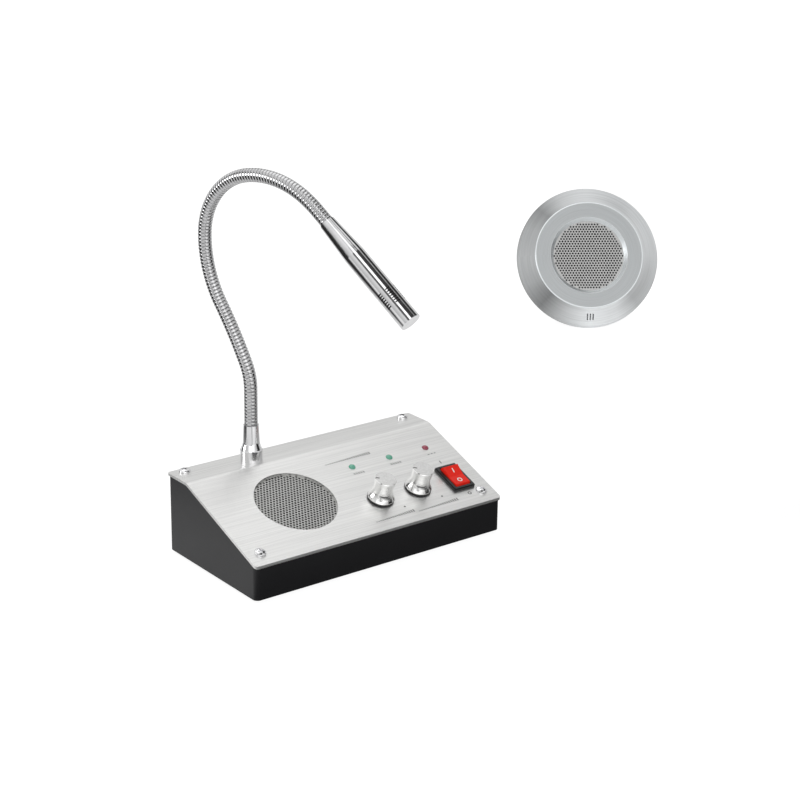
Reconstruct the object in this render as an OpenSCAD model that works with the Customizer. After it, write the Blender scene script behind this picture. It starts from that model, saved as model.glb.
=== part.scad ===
// Teller window intercom: a desk unit with a sloping faceplate and a gooseneck microphone,
// and the round speaker unit for the customer's side of the glass, stood on its rim.
// Millimetres, +Z up, +X to the teller's right, +Y to the back. The origin is on the counter
// under the centre of the desk unit. Heights of the desk unit are taken from its underside,
// and places on its slope are [x, distance up the slope from the front edge, height off it].

/* [Housing] */
// Width of the faceplate
body_w = 170; // [165:1:190]
// Depth of the faceplate, front edge to rear edge
body_d = 88.5; // [86:0.5:100]
// Height of the faceplate's front edge
front_h = 20.2; // [19:0.2:24]
// Height of the flat strip along the back
back_h = 46; // [44:0.5:54]
// Depth of the flat strip along the back
strip_d = 20.2; // [19:0.2:24]
// Wall of the moulded housing
wall_t = 2.4; // [1.8:0.1:3]
// Radius of the housing's upright corners
corner_r = 3; // [1:0.5:5]
// Height of the rubber feet
foot_h = 1.8; // [1:0.1:4]
// Diameter of a rubber foot
foot_d = 11; // [8:0.5:14]
// Distance of a foot's centre from the sides, front and back
foot_inset = 9; // [8:0.5:16]

/* [Faceplate] */
// Thickness of the faceplate's sheet
sheet_t = 1.5; // [1:0.1:2]
// How far the faceplate stands out past the housing
lip = 0.4; // [0:0.1:1]
// Corner radius of the faceplate
sheet_corner_r = 2; // [0.5:0.5:4]
// Outer radius of the bend at the top of the slope
bend_r = 6; // [3:0.5:9]
// Diameter of the cover screws' heads
screw_head_d = 6.6; // [5:0.1:8]
// Diameter of the cover screws' shanks
screw_d = 3; // [2.5:0.1:3.5]
// Distance of the cover screws from the sides
screw_side = 8.5; // [7:0.5:12]
// Distance of the front screws up the slope
screw_front = 8.9; // [7.5:0.1:11]
// Distance of the rear screws from the rear edge
screw_rear = 5; // [4.5:0.1:8]

/* [Speaker] */
// Sideways place of the speaker's centre
speaker_x = -33.9; // [-40:0.1:-32]
// Place of the speaker's centre up the slope
speaker_s = 38.8; // [36:0.1:42]
// Diameter of the speaker opening in the faceplate
opening_d = 47.8; // [40:0.2:50]
// Pitch of the perforated sheet
hole_pitch = 2; // [1.8:0.1:4]
// Hole diameter of the perforated sheet
hole_d = 1.3; // [0.8:0.05:1.5]
// Thickness of the perforated sheet
mesh_t = 0.8; // [0.5:0.1:1]
// Diameter of the speaker's basket
speaker_d = 57; // [54:0.5:60]
// Depth of the speaker's basket
basket_h = 9.5; // [8:0.5:10]
// Diameter of the speaker's magnet
magnet_d = 30; // [24:1:34]
// Thickness of the speaker's magnet
magnet_h = 8; // [5:0.5:8.5]

/* [Controls] */
// Distance of the last column of controls from the right side
controls_side = 17.3; // [16:0.1:20]
// Distance between the columns of controls
column_pitch = 26.6; // [24:0.1:27]
// Place of the lamps up the slope
lamp_s = 53.1; // [50:0.1:56]
// Diameter of a lamp's lens
lamp_d = 4; // [3:0.1:5]
// Place of the knobs up the slope
knob_s = 24.1; // [23:0.1:28]
// Diameter of a knob's skirt
knob_d = 15.6; // [15:0.1:18]
// Height of a knob off the faceplate
knob_h = 14.3; // [13:0.1:18]
// Diameter of a knob at its waist
knob_waist_d = 11.2; // [10.4:0.1:12]
// Diameter of a knob's top
knob_top_d = 12.3; // [11:0.1:14]
// Diameter of the volume controls' shafts
shaft_d = 6; // [5.5:0.1:6]
// Diameter of a volume control's case
pot_d = 16; // [14:0.5:17]
// Depth of a volume control's case
pot_h = 8; // [6:0.5:9]
// Place of the power switch up the slope
switch_s = 23.6; // [23:0.1:28]
// Width of the power switch's bezel
bezel_w = 15; // [14.6:0.1:16]
// Length of the power switch's bezel
bezel_l = 21; // [20.6:0.1:22]
// Height of the power switch's bezel
bezel_h = 2; // [1.5:0.1:2.5]
// Half of the angle through which the power switch rocks
rock_a = 10; // [6:1:11]

/* [Gooseneck] */
// Sideways place of the gooseneck
neck_x = -35.8; // [-45:0.1:-28]
// Distance of the gooseneck from the rear edge
neck_rear = 10.8; // [10.4:0.1:11.6]
// Angle by which the gooseneck's plane is turned to the right
neck_turn = 15; // [0:1:30]
// Diameter of the gooseneck's collar
collar_d = 12.8; // [12:0.1:16]
// Height of the gooseneck's collar
collar_h = 6.8; // [5:0.1:9]
// Diameter of the sleeve above the collar
sleeve_d = 9.7; // [9.4:0.1:11]
// Height of the sleeve and its cone
sleeve_h = 14.4; // [10:0.1:18]
// Outer diameter of the hose
hose_d = 7.8; // [7.6:0.1:8.2]
// Bore of the hose
hose_bore = 5; // [4.8:0.1:5.4]
// Pitch of the hose's ribs
rib_pitch = 2; // [1.8:0.1:3]
// Depth of the grooves between the ribs
rib_depth = 0.45; // [0.2:0.05:0.6]

/* [Microphone] */
// Length of the microphone's barrel
mic_len = 70; // [60:1:90]
// Diameter of the microphone's barrel
mic_d = 11.8; // [11:0.1:14]
// Diameter of the barrel where the hose goes in
mic_start_d = 9; // [9:0.1:10]
// Length of the barrel's taper
mic_taper = 20; // [12:1:30]
// Wall of the barrel
mic_wall = 1; // [0.8:0.1:1.4]
// Rows of sound slots along the barrel
slot_rows = 7; // [3:1:9]
// Columns of sound slots round the barrel
slot_columns = 6; // [4:1:8]
// Distance between the rows of sound slots
slot_pitch = 1.45; // [1.3:0.05:1.6]

/* [Rear sockets] */
// Height of the rear sockets
socket_h = 25; // [22:0.5:28]
// Distance of the window unit's socket from the right side
line_socket_side = 57; // [52:0.5:65]
// Distance of the power socket from the right side
power_socket_side = 31; // [26:0.5:35]
// Bore of the window unit's socket
line_bore = 3.6; // [3.5:0.05:3.8]
// Bore of the power socket
power_bore = 5.6; // [5.5:0.1:6.4]
// Depth of both sockets
socket_depth = 12; // [10:0.5:13]

/* [Window unit] */
// Sideways place of the window unit
unit_x = 413; // [300:1:500]
// Place of the window unit to the back
unit_y = 243; // [150:1:300]
// Angle by which the window unit faces left
unit_turn = -34; // [-60:1:0]
// Angle by which the window unit leans back
unit_lean = 28; // [0:1:40]
// Outer diameter of the window unit
unit_d = 108.4; // [106:0.2:120]
// Height of the window unit's rim
rim_h = 9; // [8:0.5:12]
// Rise of the window unit's cone from its rim to the ring
cone_h = 6; // [4:0.5:9]
// Diameter of the window unit's front ring
ring_d = 84; // [80:0.2:88]
// How far the front ring stands off the cone
ring_h = 1; // [0.5:0.1:2]
// Diameter of the front ring's flat
ring_flat_d = 59.4; // [58:0.2:64]
// Diameter of the window unit's perforated opening
unit_opening_d = 54.4; // [50:0.2:56]
// Thickness of the window unit's spun metal
spun_t = 1.2; // [0.8:0.1:1.5]
// Thickness of the foam ring on the window unit's back
gasket_t = 1; // [0.5:0.1:2]

/* [Hidden] */

$fn = 48;
// Overshoot of a cut past the face it opens
cut = 1;
// Gap between a fixed piece and the hole it drops into
fit = 0.1;
// Gap round a piece that moves
run = 0.3;
// Radial gap of a shaft in its bearing
bearing = 0.05;

// Desk unit's outline
slope_run = body_d - strip_d;
slope_rise = back_h - front_h;
slope_a = atan2(slope_rise, slope_run);
front_y = -body_d / 2;
rear_y = body_d / 2;
crease_y = rear_y - strip_d;
housing_w = body_w - 2 * lip;
housing_d = body_d - 2 * lip;
bend_steps = 4;
boss_d = screw_d + 4.4;
boss_bore = screw_d + 2 * fit;
screw_x = body_w / 2 - screw_side;
screw_l = 10;
screw_head_h = 2;

// Speaker, counted down from the faceplate's face
grille_rim = 4;
grille_d = opening_d + 2 * grille_rim;
basket_n = -sheet_t - mesh_t;
flange_t = 1;
flange_w = 2.2;
surround_n = 1.6;
voice_r = 6;
clamp_r = speaker_d / 2 + 3;
clamp_t = 1;
clamp_w = 5;
clamp_grip = flange_w - 2 * fit;
clamp_l = clamp_w / 2 + clamp_r - speaker_d / 2 + clamp_grip;
clamp_turn = 45;
stud_d = 3;
clamp_nut_h = 2.4;
clamp_nut_d = 6.2;
stud_l = mesh_t + flange_t + clamp_t + clamp_nut_h + 0.8;

// Circuit boards
board_t = 1.6;
board_w = 86;
board_d = 38;
board_side = 53;
board_x = body_w / 2 - board_side;
board_y = 15;
standoff_h = 5;
standoff_d = 6;
board_screw_d = 2.5;
board_hole_inset = 4;
board_top = wall_t + standoff_h + board_t;
lamp_board_n = -9.2;
lamp_board_end = 7;
lamp_board_w = 2 * (column_pitch + lamp_board_end);
lamp_board_h = 12;
spacer_d = 5;
lamp_rise = 1.2;
lamp_flange_h = 1;
lamp_case_h = 4.5;
lead_d = 0.6;
lead_gap = 2.54;
// Each capacitor's place from the board's centre line and from the desk unit's, radius and height
capacitor_list = [[-32, 5, 5, 13], [-20, 6, 5, 13], [-8, 4, 4, 11], [2, 4, 3.2, 9]];
heat_sink_y = 14;
chip_t = 4.5;
chip_w = 16;
chip_h = 14;
fin_base_t = 3;
fin_t = 1.4;
fin_pitch = 4.4;
fin_count = 7;
fin_l = 9;

// Volume controls and knobs, counted up from the faceplate's face
column_x = body_w / 2 - controls_side - 2 * column_pitch;
bushing_d = 7;
bushing_top = 2.3;
pot_nut_h = 1.8;
pot_nut_d = 10;
knob_gap = 0.3;
skirt_ring_h = 1;
skirt_recess_d = knob_d - 2.4;
cup_top_d = (skirt_recess_d + knob_waist_d) / 2 - 0.4;
cup_wall = 0.6;
core_n = 3;
core_plate_t = 0.7;
core_d = 8.4;
core_top = knob_h - 2.4;
shaft_top = core_top - 0.3;
pointer_a = 152;
pointer_w = 0.7;

// Power switch: the rocker's centre of turn, and how far its ends reach
rocker_w = bezel_w - 4.8;
rocker_r = bezel_l / 2 - 2.1;
rocker_n = -1;
rocker_mid = 2.7;
rocker_end = 4.3;
rocker_low = -4;
rocker_foot = 3;
switch_body_w = bezel_w - 2.2;
switch_body_l = bezel_l - 2.2;
switch_body_h = 12;
pin_d = 2.4;
pin_l = 1;
blade = [4.8, 0.8, 6];
blade_pitch = 6;

// Gooseneck: each run of the hose is [length, degrees it turns to the back], from upright
neck_runs = [[21, 0], [15, 26], [36.5, 8], [40, -35], [52, -75], [45, -44], [10, -8], [8, 0]];
neck_y = rear_y - neck_rear;
neck_stud_d = 10;
neck_stud_l = 7;
neck_nut_d = 15;
neck_nut_h = 3;
cone_part = 3.3;
sleeve_top_d = hose_d + 1.1;
sleeve_bore_depth = 5;
hose_len = sum_of([for (r = neck_runs) r[0]]);
hose_pieces = 6;
piece_len = hose_len / hose_pieces;
hose_sides = 8;
joint_gap = 0.7;
ball_r = hose_bore / 2 - run;
ball_bore = 2.2;
bore_step = 7;

// Microphone, counted along its barrel
mic_bore_depth = sleeve_bore_depth;
mic_swell = 0.2;
mic_bore_d = mic_d - 2 * mic_wall;
slot_start = 0.72 * mic_len;
slot_w = 0.75;
slot_l = 3;
cap_t = 1.2;
cap_plug = 3;
capsule_d = mic_bore_d - 0.6;
capsule_h = 6.5;
capsule_at = slot_start - 1.5;
foam_t = 0.8;

// Rear sockets
line_socket_x = body_w / 2 - line_socket_side;
power_socket_x = body_w / 2 - power_socket_side;
socket_body = [11, socket_depth + 1.5, 11];
bushing_out = 1.2;
socket_thread_d = line_bore + 4;
power_thread_d = power_bore + 3.4;
ring_nut_t = 1.6;
ring_nut_wall = 1.6;
centre_pin_d = 2.1;

// Window unit, counted out from the glass
unit_r = unit_d / 2;
plate_t = 1.6;
plate_d = unit_d - 2 * spun_t - 2 * fit;
face_h = rim_h + cone_h;
ring_top = face_h + ring_h;
opening_n = ring_top - 3;
unit_mesh_d = unit_opening_d + 5;
unit_basket_d = 54;
unit_basket_h = 5;
unit_magnet_d = 24;
unit_hole_pitch = 2.2;
unit_hole_d = 1.5;
screw_boss_d = 5;
screw_boss_r = unit_r - 7.5;
sound_slot = [0.9, 4.6];
sound_slot_gap = 2.2;
sound_slot_r = ring_d / 2 + 0.27 * (unit_r - ring_d / 2);
small_screw_d = 2;
unit_mic_d = 6;
unit_mic_h = 5;
unit_socket_a = 0;
unit_socket_d = line_bore + 1.2;
unit_socket_l = socket_depth + 1;
gasket_in = 3;
gasket_w = 10;
ledge = 5;

function sum_of(v, i = 0) = i < len(v) ? v[i] + sum_of(v, i + 1) : 0;

// The faceplate's side outline, t below its face: slope, bend and flat strip, front to back
function bent_line(t) = concat(
    [[front_y, front_h - t / cos(slope_a)]],
    [for (i = [0:bend_steps]) let (a = 90 + slope_a * (1 - i / bend_steps))
        [crease_y + bend_r * tan(slope_a / 2), back_h - bend_r] + (bend_r - t) * [cos(a), sin(a)]],
    [[rear_y, back_h - t]]);
function reversed(v) = [for (i = [len(v) - 1:-1:0]) v[i]];

// The end of one run of the hose as [[back, up], heading], from its start, for an arc or a straight
function run_end(p, h, length, turn) = turn == 0
    ? [p + length * [sin(h), cos(h)], h]
    : let (r = length * 180 / (PI * turn)) [p + r * [cos(h) - cos(h + turn), sin(h + turn) - sin(h)], h + turn];
// The hose's centre line at the distance s from the top of its sleeve
function neck_at(s, i = 0, p = [0, 0], h = 0) =
    let (length = neck_runs[i][0], turn = neck_runs[i][1])
    s <= length || i == len(neck_runs) - 1
        ? run_end(p, h, s, turn * s / length)
        : let (e = run_end(p, h, length, turn)) neck_at(s - length, i + 1, e[0], e[1]);
// A ring of points of radius r round the centre line at s
function ring_at(s, r) = let (e = s < 0 ? [[0, s], 0] : neck_at(s), h = e[1])
    [for (k = [0:hose_sides - 1]) let (a = 360 * (k + 0.5) / hose_sides)
        [r * cos(a), e[0][0] + r * sin(a) * cos(h), e[0][1] - r * sin(a) * sin(h)]];

// Rounded rectangle of x by y
module plan(x, y, r) {
    hull() for (i = [-1, 1], j = [-1, 1]) translate([i * (x / 2 - r), j * (y / 2 - r)]) circle(r);
}
// A side outline drawn as [y, z], extruded to the width w
module across(w) {
    rotate([90, 0, 90]) translate([0, 0, -w / 2]) linear_extrude(w) children();
}
module on_base() {
    translate([0, 0, foot_h]) children();
}
module on_slope(x, s, n = 0) {
    on_base() translate([0, front_y, front_h]) rotate([slope_a, 0, 0]) translate([x, s, n]) children();
}
module on_strip(x, y, n = 0) {
    on_base() translate([x, y, back_h + n]) children();
}
// Each of the four cover screws, on its own face
module at_cover_screws() {
    for (i = [-1, 1]) {
        on_slope(i * screw_x, screw_front) children();
        on_strip(i * screw_x, rear_y - screw_rear) children();
    }
}
module at_neck() {
    on_strip(neck_x, neck_y) rotate([0, 0, neck_turn]) children();
}
module on_sleeve() {
    at_neck() translate([0, 0, collar_h + sleeve_h]) children();
}
module on_mic() {
    e = neck_at(hose_len);
    on_sleeve() translate([0, e[0][0], e[0][1]]) rotate([-e[1], 0, 0]) children();
}
// Out of the glass, with the rim's back edge on the counter
module at_window_unit() {
    translate([unit_x, unit_y, unit_r * cos(unit_lean) - gasket_t * sin(unit_lean)])
        rotate([90 - unit_lean, 0, unit_turn]) children();
}
module tube(outer, inner, h) {
    difference() {
        cylinder(d = outer, h = h);
        translate([0, 0, -cut]) cylinder(d = inner, h = h + 2 * cut);
    }
}
module hex_nut(across_corners, bore, h) {
    difference() {
        cylinder(d = across_corners, h = h, $fn = 6);
        translate([0, 0, -cut]) cylinder(d = bore, h = h + 2 * cut);
    }
}
// Pan head screw with a cross recess, its head's underside at 0 and its shank below
module pan_screw(head_d, head_h, d, l) {
    difference() {
        rotate_extrude() polygon(concat([[0, -l], [d / 2, -l], [d / 2, 0], [head_d / 2, 0], [head_d / 2, head_h * 0.35]],
            [for (a = [15:15:90]) [head_d / 2 * cos(a), head_h * (0.35 + 0.65 * sin(a))]]));
        for (a = [0, 90]) rotate([0, 0, a])
            translate([-head_d * 0.27, -head_d * 0.065, head_h * 0.4]) cube([head_d * 0.54, head_d * 0.13, head_h]);
    }
}
// Perforated disc: rows a pitch apart in a triangular pattern, within the diameter open_d
module perforated(d, open_d, t, pitch, hole) {
    row = pitch * sin(60);
    rows = floor((open_d / 2 - hole / 2) / row);
    linear_extrude(t) difference() {
        circle(d = d);
        for (j = [-rows:rows]) {
            shift = abs(j) % 2 == 1 ? pitch / 2 : 0;
            reach = sqrt(pow(open_d / 2 - hole / 2, 2) - pow(j * row, 2));
            n = floor((reach - shift) / pitch);
            for (i = [-n - (shift > 0 ? 1 : 0):n]) translate([i * pitch + shift, j * row]) circle(d = hole, $fn = 16);
        }
    }
}

module housing() {
    color([0.15, 0.15, 0.17]) on_base() difference() {
        union() {
            difference() {
                housing_block();
                translate([0, 0, wall_t]) linear_extrude(back_h)
                    plan(housing_w - 2 * wall_t, housing_d - 2 * wall_t, max(corner_r - wall_t, 0.4));
            }
            intersection() {
                housing_block();
                union() {
                    translate([0, 0, -foot_h]) at_cover_screws() translate([0, 0, -back_h]) cylinder(d = boss_d, h = back_h);
                    at_board_screws(wall_t) cylinder(d = standoff_d, h = standoff_h);
                }
            }
        }
        translate([0, 0, -foot_h]) at_cover_screws()
            translate([0, 0, -screw_l - 2 * cut]) cylinder(d = boss_bore, h = screw_l + 3 * cut);
        at_board_screws(wall_t) cylinder(d = board_screw_d + 2 * fit, h = standoff_h + cut);
        for (s = [[line_socket_x, socket_thread_d], [power_socket_x, power_thread_d]])
            translate([s[0], rear_y + cut, socket_h]) rotate([90, 0, 0]) cylinder(d = s[1] + 2 * fit, h = wall_t + lip + 2 * cut);
    }
}
// The housing's outer form, up to the underside of the faceplate
module housing_block() {
    intersection() {
        across(housing_w) polygon(concat([[front_y + lip, 0]],
            [for (p = bent_line(sheet_t)) [min(max(p[0], front_y + lip), rear_y - lip),
                p[0] < front_y + lip ? p[1] + lip * tan(slope_a) : p[1]]], [[rear_y - lip, 0]]));
        linear_extrude(back_h) plan(housing_w, housing_d, corner_r);
    }
}
module at_board_screws(z) {
    for (i = [-1, 1], j = [-1, 1])
        translate([board_x + i * (board_w / 2 - board_hole_inset), board_y + j * (board_d / 2 - board_hole_inset), z]) children();
}

module faceplate() {
    color([0.8, 0.8, 0.79]) {
        difference() {
            on_base() intersection() {
                across(body_w) polygon(concat(bent_line(0), reversed(bent_line(sheet_t))));
                linear_extrude(back_h + cut) plan(body_w, body_d, sheet_corner_r);
            }
            at_cover_screws() translate([0, 0, -2 * sheet_t]) cylinder(d = screw_d + 2 * run, h = 3 * sheet_t);
            on_slope(speaker_x, speaker_s, -2 * sheet_t) cylinder(d = opening_d, h = 3 * sheet_t, $fn = 96);
            for (i = [0:2]) on_slope(column_x + i * column_pitch, lamp_s, -2 * sheet_t)
                cylinder(d = lamp_d + 2 * fit, h = 3 * sheet_t);
            for (i = [0, 1]) on_slope(column_x + i * column_pitch, knob_s, -2 * sheet_t)
                cylinder(d = bushing_d + 2 * fit, h = 3 * sheet_t);
            on_slope(column_x + 2 * column_pitch, switch_s)
                cube([switch_body_w + 2 * fit, switch_body_l + 2 * fit, 4 * sheet_t], center = true);
            at_neck() translate([0, 0, -2 * sheet_t]) cylinder(d = neck_stud_d + 2 * fit, h = 3 * sheet_t);
        }
        at_speaker_studs() translate([0, 0, -sheet_t - stud_l]) cylinder(d = stud_d, h = stud_l + sheet_t / 2);
    }
}
module at_speaker_studs() {
    for (a = [0:90:270]) on_slope(speaker_x, speaker_s) rotate([0, 0, clamp_turn + a]) translate([clamp_r, 0, 0]) children();
}
module faceplate_screws() {
    color([0.72, 0.72, 0.72]) at_cover_screws() pan_screw(screw_head_d, screw_head_h, screw_d, screw_l);
}
module rubber_feet() {
    color([0.1, 0.1, 0.1]) for (i = [-1, 1], j = [-1, 1])
        translate([i * (body_w / 2 - foot_inset), j * (body_d / 2 - foot_inset), 0])
            cylinder(d1 = foot_d - 1, d2 = foot_d, h = foot_h);
}

module speaker_grille() {
    color([0.72, 0.72, 0.7]) on_slope(speaker_x, speaker_s, basket_n)
        perforated(grille_d, opening_d, mesh_t, hole_pitch, hole_d);
}
// Pressed basket, its flange's face at 0, open between its spokes
module basket(d, h, seat_d) {
    rim = d / 2;
    throat = seat_d / 2 + 0.5;
    difference() {
        rotate_extrude() polygon([[rim - 3.5, 0], [rim, 0], [rim, -flange_t], [rim - flange_w, -flange_t],
            [rim - 3, -surround_n - 0.7], [throat, -h], [voice_r - 0.5, -h], [voice_r - 0.5, -h + 0.8],
            [throat - 0.3, -h + 0.8], [rim - 5.2, -surround_n], [rim - 3.5, -surround_n]]);
        for (a = [0:60:300]) rotate([0, 0, a]) translate([(rim + throat) / 2 - 1.5, 0, -h / 2])
            cube([(rim - throat) * 0.5, throat * 0.62, h * 3], center = true);
    }
}
// Paper cone with its surround's roll and the dust cap
module paper_cone(d, h, cap_rise) {
    rim = d / 2 - 3.5 - run;
    roll = 1.5;
    t = 0.4;
    low = -surround_n + run;
    rotate_extrude() polygon(concat(
        [for (a = [0:30:180]) [rim - roll + roll * cos(a), low + t + 0.45 * roll * sin(a)]],
        [[voice_r, -h], [voice_r * 0.7, -h + cap_rise * 0.7], [0, -h + cap_rise]],
        [[0, -h + cap_rise - t], [voice_r * 0.7, -h + cap_rise * 0.7 - t], [voice_r, -h - t], [rim - 2 * roll, low], [rim, low]]));
}
module speaker_basket() {
    color([0.55, 0.55, 0.55]) on_slope(speaker_x, speaker_s, basket_n) basket(speaker_d, basket_h, magnet_d);
}
module speaker_cone() {
    color([0.16, 0.15, 0.14]) on_slope(speaker_x, speaker_s, basket_n) paper_cone(speaker_d, basket_h - 2.2, 3);
}
// Magnet between its two pole plates, its front at 0
module magnet(d, h) {
    plate = h * 0.18;
    translate([0, 0, -h]) {
        cylinder(d = d * 0.9, h = plate);
        translate([0, 0, plate]) cylinder(d = d, h = h - 2 * plate);
        translate([0, 0, h - plate]) cylinder(d = d * 0.9, h = plate);
    }
}
module speaker_magnet() {
    color([0.35, 0.35, 0.36]) on_slope(speaker_x, speaker_s, basket_n - basket_h) magnet(magnet_d, magnet_h);
}
module speaker_clamps() {
    color([0.65, 0.65, 0.62]) at_speaker_studs() translate([0, 0, basket_n - flange_t - clamp_t]) difference() {
        translate([-clamp_l + clamp_w / 2, -clamp_w / 2, 0]) cube([clamp_l, clamp_w, clamp_t]);
        translate([0, 0, -cut]) cylinder(d = stud_d + 2 * fit, h = clamp_t + 2 * cut);
    }
}
module speaker_clamp_nuts() {
    color([0.7, 0.66, 0.5]) at_speaker_studs() translate([0, 0, basket_n - flange_t - clamp_t - clamp_nut_h])
        hex_nut(clamp_nut_d, stud_d + 2 * fit, clamp_nut_h);
}

module main_board() {
    color([0.1, 0.35, 0.2]) on_base() difference() {
        translate([board_x - board_w / 2, board_y - board_d / 2, wall_t + standoff_h]) cube([board_w, board_d, board_t]);
        at_board_screws(wall_t) cylinder(d = board_screw_d + 2 * run, h = standoff_h + 3 * board_t);
    }
}
module board_screws() {
    color([0.7, 0.7, 0.7]) on_base() at_board_screws(board_top) pan_screw(4.6, 1.6, board_screw_d, standoff_h);
}
module capacitors() {
    color([0.12, 0.14, 0.3]) on_base() for (c = capacitor_list)
        translate([board_x + c[0], c[1], board_top]) cylinder(r = c[2], h = c[3]);
}
module amplifier_chip() {
    color([0.13, 0.13, 0.13]) on_base() translate([board_x - chip_w / 2, heat_sink_y - chip_t, board_top])
        cube([chip_w, chip_t, chip_h]);
}
module heat_sink() {
    color([0.6, 0.6, 0.62]) on_base() translate([board_x, heat_sink_y, board_top]) {
        translate([-fin_pitch * fin_count / 2, 0, 0]) cube([fin_pitch * fin_count, fin_base_t, chip_h]);
        for (i = [0:fin_count - 1]) translate([(i - (fin_count - 1) / 2) * fin_pitch - fin_t / 2, fin_base_t / 2, 0])
            cube([fin_t, fin_l, chip_h]);
    }
}
module at_spacers() {
    for (i = [0.5, 1.5]) on_slope(column_x + i * column_pitch, lamp_s, lamp_board_n) children();
}
module at_lamps(list) {
    for (i = list) on_slope(column_x + i * column_pitch, lamp_s, -sheet_t) children();
}
module indicator_board() {
    color([0.1, 0.35, 0.2]) difference() {
        on_slope(column_x + column_pitch, lamp_s, lamp_board_n - board_t / 2)
            cube([lamp_board_w, lamp_board_h, board_t], center = true);
        at_lamps([0:2]) for (i = [-1, 1]) translate([i * lead_gap / 2, 0, lamp_board_n - 2 * board_t])
            cylinder(d = lead_d + 2 * fit, h = -lamp_board_n + 2 * board_t);
    }
}
module indicator_spacers() {
    color([0.75, 0.75, 0.75]) at_spacers() tube(spacer_d, 3, -lamp_board_n - sheet_t);
}
// A lamp: domed lens through the faceplate, a flange against its underside, and two leads
module lamp() {
    dome = lamp_d * 0.3;
    straight = sheet_t + lamp_rise - dome;
    rotate_extrude() polygon(concat([[0, -lamp_case_h], [lamp_d / 2, -lamp_case_h], [lamp_d / 2, -lamp_flange_h],
        [lamp_d / 2 + 0.5, -lamp_flange_h], [lamp_d / 2 + 0.5, 0], [lamp_d / 2, 0]],
        [for (a = [0:15:90]) [lamp_d / 2 * cos(a), straight + dome * sin(a)]]));
    for (i = [-1, 1]) translate([i * lead_gap / 2, 0, lamp_board_n + sheet_t - board_t - 0.8])
        cylinder(d = lead_d, h = -lamp_board_n - sheet_t + board_t + 0.8 - lamp_case_h + 0.5);
}
module green_lamps() {
    color([0.2, 0.7, 0.45]) at_lamps([0, 1]) lamp();
}
module red_lamp() {
    color([0.8, 0.15, 0.2]) at_lamps([2]) lamp();
}

// A volume control: round case under the faceplate, threaded bushing through it, three lugs
module volume_control(i) {
    color([0.55, 0.55, 0.52]) on_slope(column_x + i * column_pitch, knob_s) difference() {
        union() {
            translate([0, 0, -sheet_t - pot_h]) cylinder(d = pot_d, h = pot_h);
            translate([0, 0, -sheet_t - 0.5]) cylinder(d = bushing_d, h = sheet_t + 0.5 + bushing_top);
            for (k = [-1:1]) translate([k * 5 - 1, pot_d / 2 - 1, -sheet_t - pot_h + 1]) cube([2, 5, 0.8]);
        }
        translate([0, 0, -sheet_t - pot_h + 1]) cylinder(d = shaft_d + 2 * bearing, h = pot_h + 3 * sheet_t + bushing_top);
    }
}
module volume_control_nuts() {
    color([0.75, 0.75, 0.75]) for (i = [0, 1]) on_slope(column_x + i * column_pitch, knob_s)
        hex_nut(pot_nut_d, bushing_d + 2 * fit, pot_nut_h);
}
module shaft(i) {
    low = -sheet_t - pot_h + 1.2;
    color([0.85, 0.85, 0.85]) on_slope(column_x + i * column_pitch, knob_s) difference() {
        translate([0, 0, low]) cylinder(d = shaft_d, h = shaft_top - low);
        rotate([0, 0, pointer_a + 180]) translate([shaft_d / 2 - 0.8, -shaft_d, core_n + 1]) cube([shaft_d, 2 * shaft_d, shaft_top]);
    }
}
// Black moulded core: the dark ring under the skirt, and the collet on the shaft
module knob_core(i) {
    bore = shaft_d / 2 + bearing;
    color([0.08, 0.08, 0.08]) on_slope(column_x + i * column_pitch, knob_s) rotate_extrude() polygon([
        [bore, core_n], [cup_top_d / 2 - cup_wall, core_n], [skirt_recess_d / 2 - cup_wall, knob_gap],
        [knob_d / 2 + 0.1, knob_gap], [knob_d / 2 + 0.1, knob_gap + skirt_ring_h],
        [skirt_recess_d / 2, knob_gap + skirt_ring_h], [cup_top_d / 2, core_n + core_plate_t],
        [core_d / 2, core_n + core_plate_t], [core_d / 2, core_top], [bore, core_top]]);
}
// Turned metal shell: skirt, flare in to the waist, and out again to the flat top
module knob_shell(i) {
    low = knob_gap + skirt_ring_h;
    edge = 0.5;
    flare_top = knob_h * 0.55;
    color([0.85, 0.85, 0.85]) on_slope(column_x + i * column_pitch, knob_s) difference() {
        rotate_extrude($fn = 72) polygon(concat(
            [[skirt_recess_d / 2 + fit, low], [knob_d / 2, low]],
            [for (k = [0:6]) let (u = k / 6)
                [(knob_waist_d + (knob_d - knob_waist_d) * pow(1 - u, 2.2)) / 2, low + edge + (flare_top - low - edge) * u]],
            [for (k = [1:5]) let (u = k / 5)
                [knob_waist_d / 2 + (knob_top_d - knob_waist_d) / 2 * u * u, flare_top + (knob_h - 0.4 - flare_top) * u]],
            [[knob_top_d / 2 - 0.4, knob_h], [0, knob_h], [0, core_top + fit], [core_d / 2 + fit, core_top + fit],
                [core_d / 2 + fit, core_n + core_plate_t + fit],
                [cup_top_d / 2 + fit, core_n + core_plate_t + fit]]));
        rotate([0, 0, pointer_a]) translate([knob_top_d / 2 - 2.4, -pointer_w / 2, knob_h - 0.5]) cube([knob_top_d, pointer_w, cut]);
    }
}

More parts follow.
